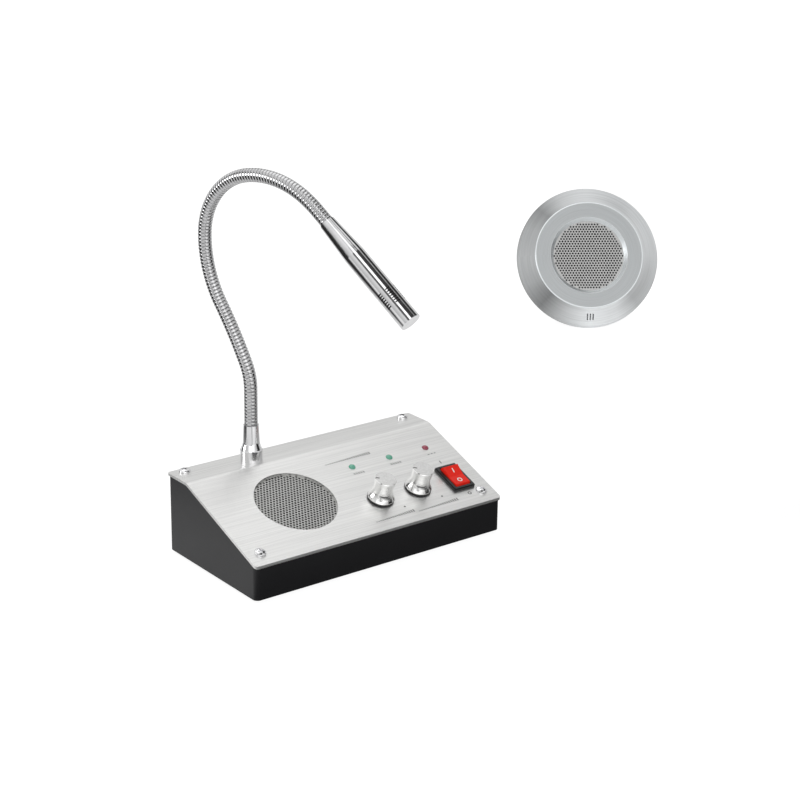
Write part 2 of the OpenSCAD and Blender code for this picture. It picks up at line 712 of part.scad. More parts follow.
module at_switch() {
    on_slope(column_x + 2 * column_pitch, switch_s) children();
}
module switch_frame() {
    color([0.07, 0.08, 0.08]) at_switch() difference() {
        union() {
            linear_extrude(bezel_h - 0.6) plan(bezel_w, bezel_l, 0.8);
            linear_extrude(bezel_h) plan(bezel_w - 1, bezel_l - 1, 0.8);
            translate([-switch_body_w / 2, -switch_body_l / 2, -switch_body_h])
                cube([switch_body_w, switch_body_l, switch_body_h + bezel_h / 2]);
        }
        translate([-rocker_w / 2 - run, -rocker_r - run, rocker_low - rocker_foot - 2])
            cube([rocker_w + 2 * run, 2 * (rocker_r + run), switch_body_h + rocker_foot]);
        translate([-switch_body_w / 2 - cut, 0, rocker_n]) rotate([0, 90, 0])
            cylinder(d = pin_d + 2 * bearing, h = switch_body_w + 2 * cut);
    }
}
// Rocker seen from the side, level: round ends about its pins, and a shallow V on top
module rocker_outline() {
    intersection() {
        translate([0, rocker_n]) circle(rocker_r, $fn = 96);
        polygon([[-rocker_r, rocker_end], [0, rocker_mid], [rocker_r, rocker_end], [rocker_r, rocker_n - 1.5],
            [rocker_foot, rocker_low], [-rocker_foot, rocker_low], [-rocker_r, rocker_n - 1.5]]);
    }
}
module switch_rocker() {
    color([0.85, 0.12, 0.08]) at_switch() translate([0, 0, rocker_n]) rotate([rock_a, 0, 0]) {
        translate([0, 0, -rocker_n]) across(rocker_w) rocker_outline();
        translate([-rocker_w / 2 - pin_l, 0, 0]) rotate([0, 90, 0]) cylinder(d = pin_d, h = rocker_w + 2 * pin_l);
    }
}
module switch_terminals() {
    color([0.8, 0.75, 0.55]) at_switch() for (k = [-1:1])
        translate([-blade[0] / 2, k * blade_pitch - blade[1] / 2, -switch_body_h - blade[2]]) cube(blade);
}

// Turned foot of the gooseneck: collar, cone and sleeve over a threaded stud
module neck_socket() {
    color([0.8, 0.8, 0.8]) at_neck() difference() {
        rotate_extrude() polygon([[0, -neck_stud_l], [neck_stud_d / 2, -neck_stud_l], [neck_stud_d / 2, 0],
            [collar_d / 2, 0], [collar_d / 2, collar_h - 0.4], [collar_d / 2 - 0.3, collar_h],
            [sleeve_d / 2 + 0.1, collar_h + cone_part], [sleeve_d / 2, collar_h + cone_part + 0.6],
            [sleeve_top_d / 2, collar_h + sleeve_h], [0, collar_h + sleeve_h]]);
        translate([0, 0, -neck_stud_l - cut]) cylinder(d = hose_bore, h = neck_stud_l + collar_h + sleeve_h + 2 * cut);
        translate([0, 0, collar_h + sleeve_h - sleeve_bore_depth]) cylinder(d = hose_d + 2 * fit, h = sleeve_bore_depth + cut);
    }
}
module neck_nut() {
    color([0.7, 0.68, 0.6]) at_neck() translate([0, 0, -sheet_t - neck_nut_h])
        hex_nut(neck_nut_d, neck_stud_d + 2 * fit, neck_nut_h);
}
// Piece i of the hose: a ribbed tube, with a ball on its far end that turns in the next one's bore
module hose_piece(i) {
    first = i == 1;
    last = i == hose_pieces;
    start = first ? -sleeve_bore_depth : (i - 1) * piece_len + joint_gap;
    end = last ? hose_len + mic_bore_depth : i * piece_len - joint_gap;
    ribs = max(round((end - start) / rib_pitch), 2);
    pitch = (end - start) / ribs;
    crest = hose_d / 2;
    steps = ceil((end - start) / bore_step);
    outside = [for (k = [0:2 * ribs]) [start + k * pitch / 2, k % 2 == 0 ? crest : crest - rib_depth]];
    ball = last ? [] : [for (a = [115, 85, 55, 35]) [i * piece_len + ball_r * cos(a), ball_r * sin(a)]];
    ball_end = i * piece_len + ball_r * cos(35);
    inside = concat(last ? [[end, hose_bore / 2]] : [[ball_end, ball_bore / 2], [end - 2, ball_bore / 2], [end - 2, hose_bore / 2]],
        [for (k = [1:steps]) let (a = last ? end : end - 2) [a + (start - a) * k / steps, hose_bore / 2]]);
    rings = [for (p = concat(outside, ball, inside)) ring_at(p[0], p[1])];
    n = len(rings);
    color([0.75, 0.75, 0.75]) on_sleeve() polyhedron(
        points = [for (r = rings, p = r) p],
        faces = [for (j = [0:n - 1], k = [0:hose_sides - 1])
            let (a = j * hose_sides, b = (j + 1) % n * hose_sides, m = (k + 1) % hose_sides)
            each [[a + k, b + k, b + m], [a + k, b + m, a + m]]]);
}

module microphone_barrel() {
    color([0.8, 0.8, 0.8]) on_mic() difference() {
        rotate_extrude() polygon([[0, 0], [mic_start_d / 2, 0], [mic_d / 2 - mic_swell, mic_taper],
            [mic_d / 2, 1.2 * mic_taper], [mic_d / 2, mic_len], [0, mic_len]]);
        translate([0, 0, -cut]) cylinder(d = hose_d + 2 * fit, h = mic_bore_depth + cut);
        cylinder(d = hose_bore, h = mic_taper + cut);
        translate([0, 0, mic_taper]) cylinder(d = mic_bore_d, h = mic_len);
        for (i = [0:slot_rows - 1], k = [0:slot_columns - 1]) rotate([0, 0, k * 360 / slot_columns])
            translate([mic_d / 2, 0, slot_start + i * slot_pitch]) cube([4 * mic_wall, slot_l, slot_w], center = true);
    }
}
module microphone_end_cap() {
    color([0.85, 0.85, 0.85]) on_mic() translate([0, 0, mic_len]) {
        cylinder(d = mic_d, h = cap_t);
        translate([0, 0, -cap_plug]) cylinder(d = mic_bore_d - 2 * fit, h = cap_plug);
    }
}
module microphone_capsule() {
    color([0.5, 0.5, 0.5]) on_mic() translate([0, 0, capsule_at - capsule_h]) cylinder(d = capsule_d, h = capsule_h);
}
module microphone_foam() {
    color([0.1, 0.1, 0.1]) on_mic() translate([0, 0, capsule_at])
        tube(mic_bore_d - 2 * fit, mic_bore_d - 2 * foam_t, mic_len - cap_plug - capsule_at);
}

// Panel socket in the rear wall, its mouth to the back
module rear_socket(x, thread_d, bore) {
    wall = rear_y - lip;
    on_base() translate([x, wall, socket_h]) rotate([-90, 0, 0]) difference() {
        union() {
            translate([0, 0, -wall_t - socket_body[1] / 2]) cube([socket_body[0], socket_body[2], socket_body[1]], center = true);
            translate([0, 0, -wall_t - 0.5]) cylinder(d = thread_d, h = wall_t + 0.5 + ring_nut_t + bushing_out);
        }
        translate([0, 0, ring_nut_t + bushing_out - socket_depth]) cylinder(d = bore, h = socket_depth + cut);
    }
}
module line_socket() {
    color([0.12, 0.12, 0.12]) rear_socket(line_socket_x, socket_thread_d, line_bore);
}
module power_socket() {
    color([0.1, 0.1, 0.1]) {
        rear_socket(power_socket_x, power_thread_d, power_bore);
        on_base() translate([power_socket_x, rear_y - lip - socket_depth + ring_nut_t, socket_h]) rotate([-90, 0, 0])
            cylinder(d = centre_pin_d, h = socket_depth - 1);
    }
}
module socket_nuts() {
    color([0.75, 0.75, 0.75]) for (s = [[line_socket_x, socket_thread_d], [power_socket_x, power_thread_d]])
        on_base() translate([s[0], rear_y - lip, socket_h]) rotate([-90, 0, 0])
            tube(s[1] + 2 * ring_nut_wall, s[1] + 2 * fit, ring_nut_t);
}

// Window unit's outline from the rim up its cone to the ledge that carries the ring, t inside it
function unit_outline(t) = [[unit_r - t, gasket_t], [unit_r - t, rim_h - 0.5 - t / 2], [unit_r - 0.5 - t, rim_h - t],
    [ring_d / 2 - t / 3, face_h - t]];
module window_flange() {
    color([0.68, 0.7, 0.72]) at_window_unit() difference() {
        rotate_extrude($fn = 120) polygon(concat([[0, gasket_t]], unit_outline(0), [[0, face_h]]));
        difference() {
            rotate_extrude($fn = 120) polygon(concat([[0, 0], [unit_r - spun_t, 0]], unit_outline(spun_t),
                [[0, face_h - spun_t]]));
            at_unit_screws(gasket_t + plate_t) cylinder(d = screw_boss_d, h = face_h);
        }
        cylinder(d = ring_d - 2 * ledge, h = face_h + cut, $fn = 96);
        at_unit_screws(0) cylinder(d = small_screw_d + 2 * fit, h = rim_h - spun_t);
        for (k = [-1:1]) translate([k * sound_slot_gap, -sound_slot_r - sound_slot[1] / 2, face_h])
            cube([sound_slot[0], sound_slot[1], 4 * cone_h], center = true);
        at_window_line() translate([0, 0, -unit_socket_l]) cylinder(d = unit_socket_d + 2 * fit, h = 2 * unit_socket_l);
    }
}
// Front ring: flat face, bevel down to the perforated sheet, and a seat behind for it
module window_ring() {
    color([0.72, 0.74, 0.77]) at_window_unit() rotate_extrude($fn = 120) polygon([
        [ring_d / 2 - 0.3, face_h], [ring_d / 2 - 0.3, ring_top - 0.3], [ring_d / 2 - 0.6, ring_top],
        [ring_flat_d / 2, ring_top], [unit_opening_d / 2, opening_n], [unit_opening_d / 2, opening_n - 0.4],
        [unit_mesh_d / 2 + fit, opening_n - 0.4], [unit_mesh_d / 2 + fit, opening_n - 0.4 - mesh_t],
        [unit_mesh_d / 2 + 1.4, opening_n - 0.4 - mesh_t], [ring_flat_d / 2 + 3, face_h]]);
}
module window_grille() {
    color([0.75, 0.75, 0.73]) at_window_unit() translate([0, 0, opening_n - 0.4 - mesh_t])
        perforated(unit_mesh_d, unit_opening_d, mesh_t, unit_hole_pitch, unit_hole_d);
}
module window_basket() {
    color([0.55, 0.55, 0.55]) at_window_unit() translate([0, 0, opening_n - 0.4 - mesh_t])
        basket(unit_basket_d, unit_basket_h, unit_magnet_d);
}
module window_cone() {
    color([0.16, 0.15, 0.14]) at_window_unit() translate([0, 0, opening_n - 0.4 - mesh_t])
        paper_cone(unit_basket_d, unit_basket_h - 1.6, 1.5);
}
module window_magnet() {
    front = opening_n - 0.4 - mesh_t - unit_basket_h;
    color([0.35, 0.35, 0.36]) at_window_unit() translate([0, 0, front]) magnet(unit_magnet_d, front - gasket_t - plate_t);
}
// Back plate: moulded disc with three sunk holes for the screws that bite in the flange's bosses
module window_back_plate() {
    color([0.12, 0.12, 0.13]) at_window_unit() difference() {
        translate([0, 0, gasket_t]) cylinder(d = plate_d, h = plate_t, $fn = 120);
        at_unit_screws(-cut) cylinder(d = small_screw_d + 2 * fit, h = rim_h);
        at_unit_screws(-cut) cylinder(d = 2 * small_screw_d + 2 * fit, h = gasket_t + cut + plate_t / 2);
    }
}
module at_unit_screws(z) {
    for (a = [90:120:330]) rotate([0, 0, a]) translate([screw_boss_r, 0, z]) children();
}
module window_back_screws() {
    color([0.7, 0.7, 0.7]) at_window_unit() at_unit_screws(gasket_t + plate_t / 2) rotate([180, 0, 0])
        pan_screw(2 * small_screw_d, plate_t / 2, small_screw_d, rim_h - spun_t - gasket_t - plate_t / 2 - run);
}
module window_microphone() {
    color([0.5, 0.5, 0.5]) at_window_unit() translate([0, -sound_slot_r - 0.5, gasket_t + plate_t])
        cylinder(d = unit_mic_d, h = unit_mic_h);
}
// The window unit's line socket goes in through its rim, its mouth outwards
module at_window_line() {
    rotate([0, 0, unit_socket_a]) translate([unit_r, 0, gasket_t + plate_t + unit_socket_d / 2 + 2 * fit]) rotate([0, 90, 0])
        children();
}
module window_line_socket() {
    color([0.12, 0.12, 0.12]) at_window_unit() at_window_line() difference() {
        translate([0, 0, -unit_socket_l]) cylinder(d = unit_socket_d, h = unit_socket_l);
        translate([0, 0, -socket_depth]) cylinder(d = line_bore, h = socket_depth + cut);
    }
}
module window_gasket() {
    color([0.2, 0.2, 0.2]) at_window_unit() tube(unit_d - 2 * gasket_in, unit_d - 2 * gasket_in - 2 * gasket_w, gasket_t, $fn = 96);
}

housing();
faceplate();
faceplate_screws();
rubber_feet();
speaker_grille();
speaker_basket();
speaker_cone();
speaker_magnet();
speaker_clamps();
speaker_clamp_nuts();
main_board();
board_screws();
capacitors();
amplifier_chip();
heat_sink();
indicator_board();
indicator_spacers();
green_lamps();
red_lamp();
volume_control(0);  // inside_volume_control
volume_control(1);  // outside_volume_control
volume_control_nuts();
shaft(0);  // inside_shaft
knob_core(0);  // inside_knob_core
knob_shell(0);  // inside_knob
shaft(1);  // outside_shaft
knob_core(1);  // outside_knob_core
knob_shell(1);  // outside_knob
switch_frame();
switch_rocker();
switch_terminals();
neck_socket();
neck_nut();
hose_piece(1);  // neck_hose_1
hose_piece(2);  // neck_hose_2
hose_piece(3);  // neck_hose_3
hose_piece(4);  // neck_hose_4
hose_piece(5);  // neck_hose_5
hose_piece(6);  // neck_hose_6
microphone_barrel();
microphone_end_cap();
microphone_capsule();
microphone_foam();
line_socket();
power_socket();
socket_nuts();
window_flange();
window_ring();
window_grille();
window_basket();
window_cone();
window_magnet();
window_back_plate();
window_back_screws();
window_microphone();
window_line_socket();
window_gasket();
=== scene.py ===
"""Teller window intercom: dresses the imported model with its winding, marks, finishes and studio."""

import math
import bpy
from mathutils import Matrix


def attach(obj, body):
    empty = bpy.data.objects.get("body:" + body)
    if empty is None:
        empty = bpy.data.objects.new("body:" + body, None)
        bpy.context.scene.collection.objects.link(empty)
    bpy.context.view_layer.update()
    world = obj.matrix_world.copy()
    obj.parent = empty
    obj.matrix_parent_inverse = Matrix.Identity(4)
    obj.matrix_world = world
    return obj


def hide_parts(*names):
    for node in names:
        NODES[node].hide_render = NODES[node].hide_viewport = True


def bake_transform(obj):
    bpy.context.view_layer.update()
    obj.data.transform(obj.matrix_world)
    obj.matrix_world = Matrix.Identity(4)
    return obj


bl_info = {
    "name": "Teller window intercom",
    "version": (1, 0, 0),
    "blender": (4, 5, 0),
    "location": "3D View > Sidebar > Intercom",
    "description": "Adds the gooseneck's winding, the printed marks, the finishes and the studio",
    "category": "Add Mesh",
}

import bmesh
import bpy
import numpy as np
from mathutils import Matrix, Vector

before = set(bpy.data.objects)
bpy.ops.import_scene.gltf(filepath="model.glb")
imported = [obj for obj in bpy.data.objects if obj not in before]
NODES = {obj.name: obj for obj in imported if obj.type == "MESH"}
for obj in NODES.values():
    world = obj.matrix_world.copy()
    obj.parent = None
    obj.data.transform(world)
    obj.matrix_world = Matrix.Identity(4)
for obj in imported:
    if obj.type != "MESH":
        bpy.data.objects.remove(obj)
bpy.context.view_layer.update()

MM = 0.001
IMAGE_SIDE = 800
BLACK, WHITE = (0.0, 0.0, 0.0), (1.0, 1.0, 1.0)

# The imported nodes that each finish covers
FINISHES = {
    "charcoal_moulding": ["housing"],
    "brushed_sheet": ["faceplate"],
    "perforated_sheet": ["speaker_grille"],
    "bright_mesh": ["window_grille"],
    "bright_plating": [
        "faceplate_screws",
        "neck_socket",
        "microphone_barrel",
        "microphone_end_cap",
    ],
    "foot_rubber": ["rubber_feet"],
    "pressed_steel": [
        "speaker_basket",
        "speaker_clamps",
        "inside_volume_control",
        "outside_volume_control",
        "switch_terminals",
        "indicator_spacers",
    ],
    "cone_paper": ["speaker_cone", "window_cone"],
    "magnet_iron": ["speaker_magnet", "window_magnet"],
    "zinc_plating": [
        "speaker_clamp_nuts",
        "volume_control_nuts",
        "neck_nut",
        "socket_nuts",
        "board_screws",
        "window_back_screws",
    ],
    "circuit_board": ["main_board", "indicator_board"],
    "capacitor_sleeve": ["capacitors"],
    "black_moulding": [
        "amplifier_chip",
        "switch_frame",
        "inside_knob_core",
        "outside_knob_core",
        "line_socket",
        "power_socket",
        "window_line_socket",
        "window_back_plate",
        "window_basket",
    ],
    "extruded_aluminium": [
        "heat_sink",
        "microphone_capsule",
        "window_microphone",
        "inside_shaft",
        "outside_shaft",
    ],
    "green_lens": ["green_lamps"],
    "red_lens": ["red_lamp"],
    "rocker_red": ["switch_rocker"],
    "open_foam": ["microphone_foam", "window_gasket"],
    "spun_cone": ["window_flange"],
    "spun_ring": ["window_ring"],
    "turned_inside_knob": ["inside_knob"],
    "turned_outside_knob": ["outside_knob"],
}


def size(name, description, default, low, high):
    """A length in millimetres for a property group."""
    return bpy.props.FloatProperty(
        name=name, description=description, default=default, min=low, max=high
    )


def colour(name, description, default):
    """A colour for a property group."""
    return bpy.props.FloatVectorProperty(
        name=name,
        description=description,
        default=default,
        subtype="COLOR",
        size=3,
        min=0.0,
        max=1.0,
    )


class DeskSizes(bpy.types.PropertyGroup):
    """Where the faceplate's slope and its controls lie, in millimetres."""

    # The slope rises from 20.2 to 46 over the depth of 88.5 that the flat strip of 20.2 leaves
    slope_angle: bpy.props.FloatProperty(
        name="Slope",
        description="Angle of the faceplate's slope",
        default=math.atan2(46.0 - 20.2, 88.5 - 20.2),
        subtype="ANGLE",
    )
    front_edge: size("Front edge", "Faceplate's depth before the origin", 44.25, 40, 50)
    front_height: size("Front height", "Height of the front edge", 22.0, 20, 28)
    column_x: size("Column", "Sideways place of the first controls", 14.5, 13, 17)
    column_pitch: size("Column pitch", "Distance between the controls", 26.6, 24, 27)
    knob_s: size("Knobs", "Place of the knobs up the slope", 24.1, 23, 28)
    switch_s: size("Switch", "Place of the switch up the slope", 23.6, 23, 28)
    knob_height: size("Knob height", "Height of a knob's top", 14.3, 13, 18)
    knob_top: size("Knob top", "Diameter of a knob's top", 12.3, 11, 14)


class NeckSizes(bpy.types.PropertyGroup):
    """The gooseneck's hose, in millimetres."""

    hose: size("Hose", "Outer diameter of the hose", 7.8, 7, 9)
    bore: size("Bore", "Bore of the hose", 5.0, 4, 6)
    pitch: size("Winding pitch", "Distance from turn to turn", 2.0, 1.5, 3)
    groove: size("Groove", "Depth of the groove between the turns", 0.55, 0.1, 0.8)
    foot_x: size("Foot across", "Sideways place of the gooseneck", -35.8, -45, -28)
    foot_y: size("Foot back", "Place of the gooseneck to the back", 33.45, 30, 40)
    foot_z: size("Sleeve top", "Height of the sleeve's top", 69.0, 60, 80)
    tucked: size("Tucked", "Length of hose in the sleeve and in the barrel", 5.0, 3, 8)
    turn: bpy.props.FloatProperty(
        name="Turn",
        description="Angle by which the gooseneck's plane is turned",
        default=math.radians(15),
        subtype="ANGLE",
    )


class UnitSizes(bpy.types.PropertyGroup):
    """Where the window unit stands, in millimetres, and how it is turned."""

    across: size("Across", "Sideways place of the window unit", 413, 300, 500)
    back: size("Back", "Place of the window unit to the back", 243, 150, 300)
    radius: size("Radius", "Radius of the window unit's rim", 54.2, 53, 60)
    foam: size("Foam", "Thickness of the foam ring on its back", 1, 0.5, 2)
    lean: bpy.props.FloatProperty(
        name="Lean", description="Angle by which it leans back",
        default=math.radians(28), subtype="ANGLE",
    )
    turn: bpy.props.FloatProperty(
        name="Turn", description="Angle by which it faces left",
        default=math.radians(-34), subtype="ANGLE",
    )

    def axis_frame(self):
        """The point of its axis on the glass, in metres, and the rotation that stands +Z on it."""
        height = self.radius * math.cos(self.lean) - self.foam * math.sin(self.lean)
        centre = (self.across * MM, self.back * MM, height * MM)
        return centre, (math.radians(90) - self.lean, 0.0, self.turn)


class Colours(bpy.types.PropertyGroup):
    """The finishes' colours."""

    housing: colour("Housing", "Charcoal moulding", (0.007, 0.007, 0.0085))
    sheet: colour("Faceplate", "Brushed sheet", (0.82, 0.82, 0.81))
    plating: colour("Plating", "Bright plating", (0.86, 0.86, 0.87))
    hose: colour("Hose", "Plating of the hose's wire", (0.6192, 0.6192, 0.6264))
    knob: colour("Knobs", "Turned knobs", (0.97, 0.97, 0.96))
    unit: colour("Window unit", "Spun cone", (0.96, 0.98, 0.99))
    ring: colour("Front ring", "Satin ring", (0.93, 0.965, 0.98))
    lamp_green: colour("Green lamps", "Diffused green lens", (0.10, 0.34, 0.24))
    lamp_red: colour("Red lamp", "Diffused red lens", (0.26, 0.03, 0.06))
    rocker: colour("Rocker", "Translucent red", (0.62, 0.016, 0.008))
    print_ink: colour("Printing", "Printed marks", (0.03, 0.03, 0.035))


class Studio(bpy.types.PropertyGroup):
    """The floor, the light and the camera."""

    floor: colour("Floor", "Pale floor", (0.3, 0.3, 0.3))
    sky: bpy.props.FloatProperty(
        name="Sky", description="Strength of the surrounding light", default=1.0
    )
    camera_place: bpy.props.FloatVectorProperty(
        name="Camera", description="Camera's place", default=(-0.6181, -0.8546, 0.4577),
        subtype="XYZ", unit="LENGTH", size=3,
    )
    azimuth: bpy.props.FloatProperty(
        name="Azimuth", description="Camera's direction round the object",
        default=math.radians(-37.777), subtype="ANGLE",
    )
    elevation: bpy.props.FloatProperty(
        name="Elevation", description="Camera's angle above the horizon",
        default=math.radians(19.403), subtype="ANGLE",
    )
    roll: bpy.props.FloatProperty(
        name="Roll", description="Camera's roll", default=math.radians(0.831),
        subtype="ANGLE",
    )
    focal_pixels: bpy.props.FloatProperty(
        name="Focal length", description="Focal length in pixels of the image", default=2000
    )


# Painted sheen of the window unit's spun cone, lighter and darker sectors painted into its colour:
# [angle from its left by way of its foot, in turns; share of the light that it throws back]
CONE_PAINTED_SHEEN = [
    (0.0, 0.53), (0.07, 0.48), (0.125, 0.29), (0.18, 0.65), (0.25, 1.0),
    (0.32, 0.92), (0.375, 0.64), (0.45, 0.8), (0.5, 0.9), (0.625, 1.0),
    (0.75, 0.8), (0.82, 0.6), (0.875, 0.34), (0.93, 0.5), (1.0, 0.53),
]
# Painted highlights of its front ring by distance from the axis, in shares of 50 mm: its bevels and
# edge painted bright
RING_PAINTED_HIGHLIGHTS = [(0.0, 0.97), (0.592, 0.97), (0.6, 0.52), (0.814, 0.52), (0.82, 0.97), (1.0, 0.97)]
BANDS_PER_METRE = 20.0

# ---------------------------------------------------------------- shader maths


class Number:
    """A value socket that Python arithmetic works on: each operator adds its Math node."""

    def __init__(self, tree, socket):
        self.tree, self.socket = tree, socket

    def math(self, operation, *values):
        made = self.tree.node(
            "ShaderNodeMath", {"operation": operation}, dict(enumerate(values))
        )
        return Number(self.tree, made.outputs[0])

    def __add__(self, other):
        return self.math("ADD", self, other)

    def __radd__(self, other):
        return self.math("ADD", other, self)

    def __sub__(self, other):
        return self.math("SUBTRACT", self, other)

    def __rsub__(self, other):
        return self.math("SUBTRACT", other, self)

    def __mul__(self, other):
        return self.math("MULTIPLY", self, other)

    def __rmul__(self, other):
        return self.math("MULTIPLY", other, self)

    def __truediv__(self, other):
        return self.math("DIVIDE", self, other)

    def __pow__(self, other):
        return self.math("POWER", self, other)

    def clamp(self):
        return self.math("MINIMUM", self.math("MAXIMUM", self, 0.0), 1.0)

    def between(self, low, high):
        """0 below low, 1 above high and smooth in between."""
        made = self.tree.node(
            "ShaderNodeMapRange",
            {"interpolation_type": "SMOOTHSTEP"},
            {"Value": self, "From Min": low, "From Max": high},
        )
        return Number(self.tree, made.outputs["Result"])


class Tree:
    """A node tree with one method that adds any node."""

    def __init__(self, owner):
        owner.use_nodes = True
        self.nodes, self.links = owner.node_tree.nodes, owner.node_tree.links
        self.nodes.clear()

    def node(self, kind, settings=None, sockets=None):
        made = self.nodes.new(kind)
        for name, value in (settings or {}).items():
            if name == "stops":
                ramp = made.color_ramp
                while len(ramp.elements) < len(value):
                    ramp.elements.new(1.0)
                for element, (place, shade) in zip(ramp.elements, value):
                    element.position = place
                    element.color = (*shade, 1.0)
            else:
                setattr(made, name, value)
        for name, value in (sockets or {}).items():
            self.feed(made.inputs[name], value)
        return made

    def feed(self, socket, value):
        if isinstance(value, Number):
            value = value.socket
        if isinstance(value, bpy.types.NodeSocket):
            self.links.new(value, socket)
        elif socket.type == "RGBA" and len(value) == 3:
            socket.default_value = (*value, 1.0)
        else:
            socket.default_value = value

    def number(self, kind, settings=None, sockets=None, output=0):
        return Number(self, self.node(kind, settings, sockets).outputs[output])

    def place(self):
        return self.node("ShaderNodeTexCoord").outputs["Object"]

    def scaled(self, vector, scale):
        made = self.node(
            "ShaderNodeVectorMath", {"operation": "MULTIPLY"}, {0: vector, 1: scale}
        )
        return made.outputs[0]

    def noise(self, vector, scale, detail=3.0, roughness=0.5):
        return self.number(
            "ShaderNodeTexNoise",
            {},
            {"Vector": vector, "Scale": scale, "Detail": detail, "Roughness": roughness},
        )

    def mix(self, factor, a, b):
        made = self.node(
            "ShaderNodeMix",
            {"data_type": "RGBA"},
            {"Factor": factor},
        )
        self.feed(made.inputs[6], a)
        self.feed(made.inputs[7], b)
        return made.outputs[2]

    def parts(self, vector):
        made = self.node("ShaderNodeSeparateXYZ", {}, {0: vector})
        return [Number(self, o) for o in made.outputs]

    def turned(self, centre, rotation):
        """Object coordinates seen from a centre and a rotation, as a Mapping node gives them."""
        made = self.node(
            "ShaderNodeMapping",
            {"vector_type": "TEXTURE"},
            {"Vector": self.place(), "Location": centre, "Rotation": rotation},
        )
        return made.outputs[0]


class Finish(Tree):
    """A material built on one Principled shader."""

    def __init__(self, name, **sockets):
        self.material = bpy.data.materials.new(name)
        super().__init__(self.material)
        self.shader = self.node("ShaderNodeBsdfPrincipled")
        output = self.node("ShaderNodeOutputMaterial")
        self.links.new(self.shader.outputs[0], output.inputs[0])
        for key, value in sockets.items():
            self.set(key.replace("_", " ").title().replace("Ior", "IOR"), value)

    def set(self, name, value):
        self.feed(self.shader.inputs[name], value)

    def bump(self, height, distance, strength=1.0):
        made = self.node(
            "ShaderNodeBump",
            {},
            {"Height": height, "Distance": distance, "Strength": strength},
        )
        self.set("Normal", made.outputs[0])


def grained(name, shade, roughness, grain, depth, spread=0.12, **sockets):
    """A finish with a fine grain: colour and roughness wander with it and with broad patches 30
    times as large, and the grain stands in relief."""
    patch_scale, patch_share, roughness_share = 30, 0.6, 0.6
    made = Finish(name, **sockets)
    fine = made.noise(made.place(), grain, 4.0)
    broad = made.noise(made.place(), grain / patch_scale, 2.0)
    wander = (fine - 0.5) * spread + (broad - 0.5) * spread
    tone = (broad * patch_share + fine * (1 - patch_share)).clamp()
    low = tuple(c * (1 - spread) for c in shade)
    high = tuple(min(c * (1 + spread), 1.0) for c in shade)
    made.set("Base Color", made.mix(tone, low, high))
    made.set("Roughness", (wander * roughness_share + roughness).clamp())
    made.bump(fine, depth)
    return made


def brushed_sheet(name, shade):
    """Sheet brushed along its width: long thin scratches in colour, roughness and relief, the sum
    of three noises that are drawn out along X by their scales per metre."""
    darkest, palest = 0.84, 1.13
    smoothest, roughness_range = 0.24, 0.26
    relief, strength = 0.00012, 0.55
    made = Finish(name, metallic=1.0)
    fine = made.noise(made.scaled(made.place(), (22, 5200, 5200)), 1.0, 3.0, 0.6)
    long = made.noise(made.scaled(made.place(), (5, 900, 900)), 1.0, 2.0, 0.6)
    broad = made.noise(made.scaled(made.place(), (6, 60, 60)), 1.0, 2.0, 0.5)
    lines = fine * 0.55 + long * 0.3 + broad * 0.15
    low = tuple(c * darkest for c in shade)
    high = tuple(min(c * palest, 1.0) for c in shade)
    made.set("Base Color", made.mix(lines.between(0.3, 0.72), low, high))
    made.set("Roughness", lines * roughness_range + smoothest)
    made.bump(lines, relief, strength)
    return made


def plated(name, shade, roughness=0.07, bump=0.00002):
    """Bright plating with the faintest unevenness and smudging."""
    smudge_scale, ripple_scale = 140, 900
    darkest, roughness_range, strength = 0.94, 0.05, 0.6
    made = Finish(name, metallic=1.0)
    smudge = made.noise(made.place(), smudge_scale, 3.0)
    ripple = made.noise(made.place(), ripple_scale, 2.0)
    low = tuple(c * darkest for c in shade)
    made.set("Base Color", made.mix(smudge.between(0.35, 0.65), low, shade))
    made.set("Roughness", smudge * roughness_range + roughness)
    made.bump(ripple, bump, strength)
    return made


def turned(
    name, shade, centre, rotation, roughness=0.2, rings=2600.0, sheen_sectors=(), highlight_bands=(), face=0.0
):
    """Metal turned or spun about an axis: fine rings by distance from the axis, broken up a
    little round it. Painted sheen may lighten or darken its colour in sectors round the axis, and
    painted highlights in bands away from it; painted shade darkens the flat that faces along it,
    whose height is face."""
    ring_break = 0.7
    darkest, roughness_range = 0.88, 0.12
    relief, strength = 0.00005, 0.5
    face_low, face_high, face_painted_shade = face - 0.00012, face - 0.00002, 0.25
    made = Finish(name, metallic=1.0)
    x, y, z = made.parts(made.turned(centre, rotation))
    reach = (x * x + y * y) ** 0.5
    angle = made.number("ShaderNodeMath", {"operation": "ARCTAN2"}, {0: y, 1: x})
    along = made.node(
        "ShaderNodeCombineXYZ", {}, {0: reach * rings + z * rings, 1: angle * ring_break}
    ).outputs[0]
    fine = made.noise(along, 1.0, 2.0, 0.6)
    tone = fine.between(0.3, 0.7) * (1.0 - darkest) + darkest
    # Painted sheen in sectors round the axis and painted highlights in bands away from it
    for stops, place in (
        (sheen_sectors, angle / math.tau + 0.5),
        (highlight_bands, reach * BANDS_PER_METRE),
    ):
        if stops:
            tone = tone * made.number(
                "ShaderNodeValToRGB", {"stops": [(at, (v, v, v)) for at, v in stops]}, {0: place}
            )
    # Painted shade: the flat top's colour is darkened by a quarter
    if face:
        tone = tone * (1.0 - z.between(face_low, face_high) * face_painted_shade)
    made.set("Base Color", made.mix(tone, BLACK, shade))
    made.set("Roughness", fine * roughness_range + roughness)
    made.bump(fine, relief, strength)
    return made


# ---------------------------------------------------------------- geometry


def to_array(*columns):
    """Coordinates, stretched to one shape, side by side in an array's last axis."""
    return np.stack(np.broadcast_arrays(*columns), axis=-1).astype(float)


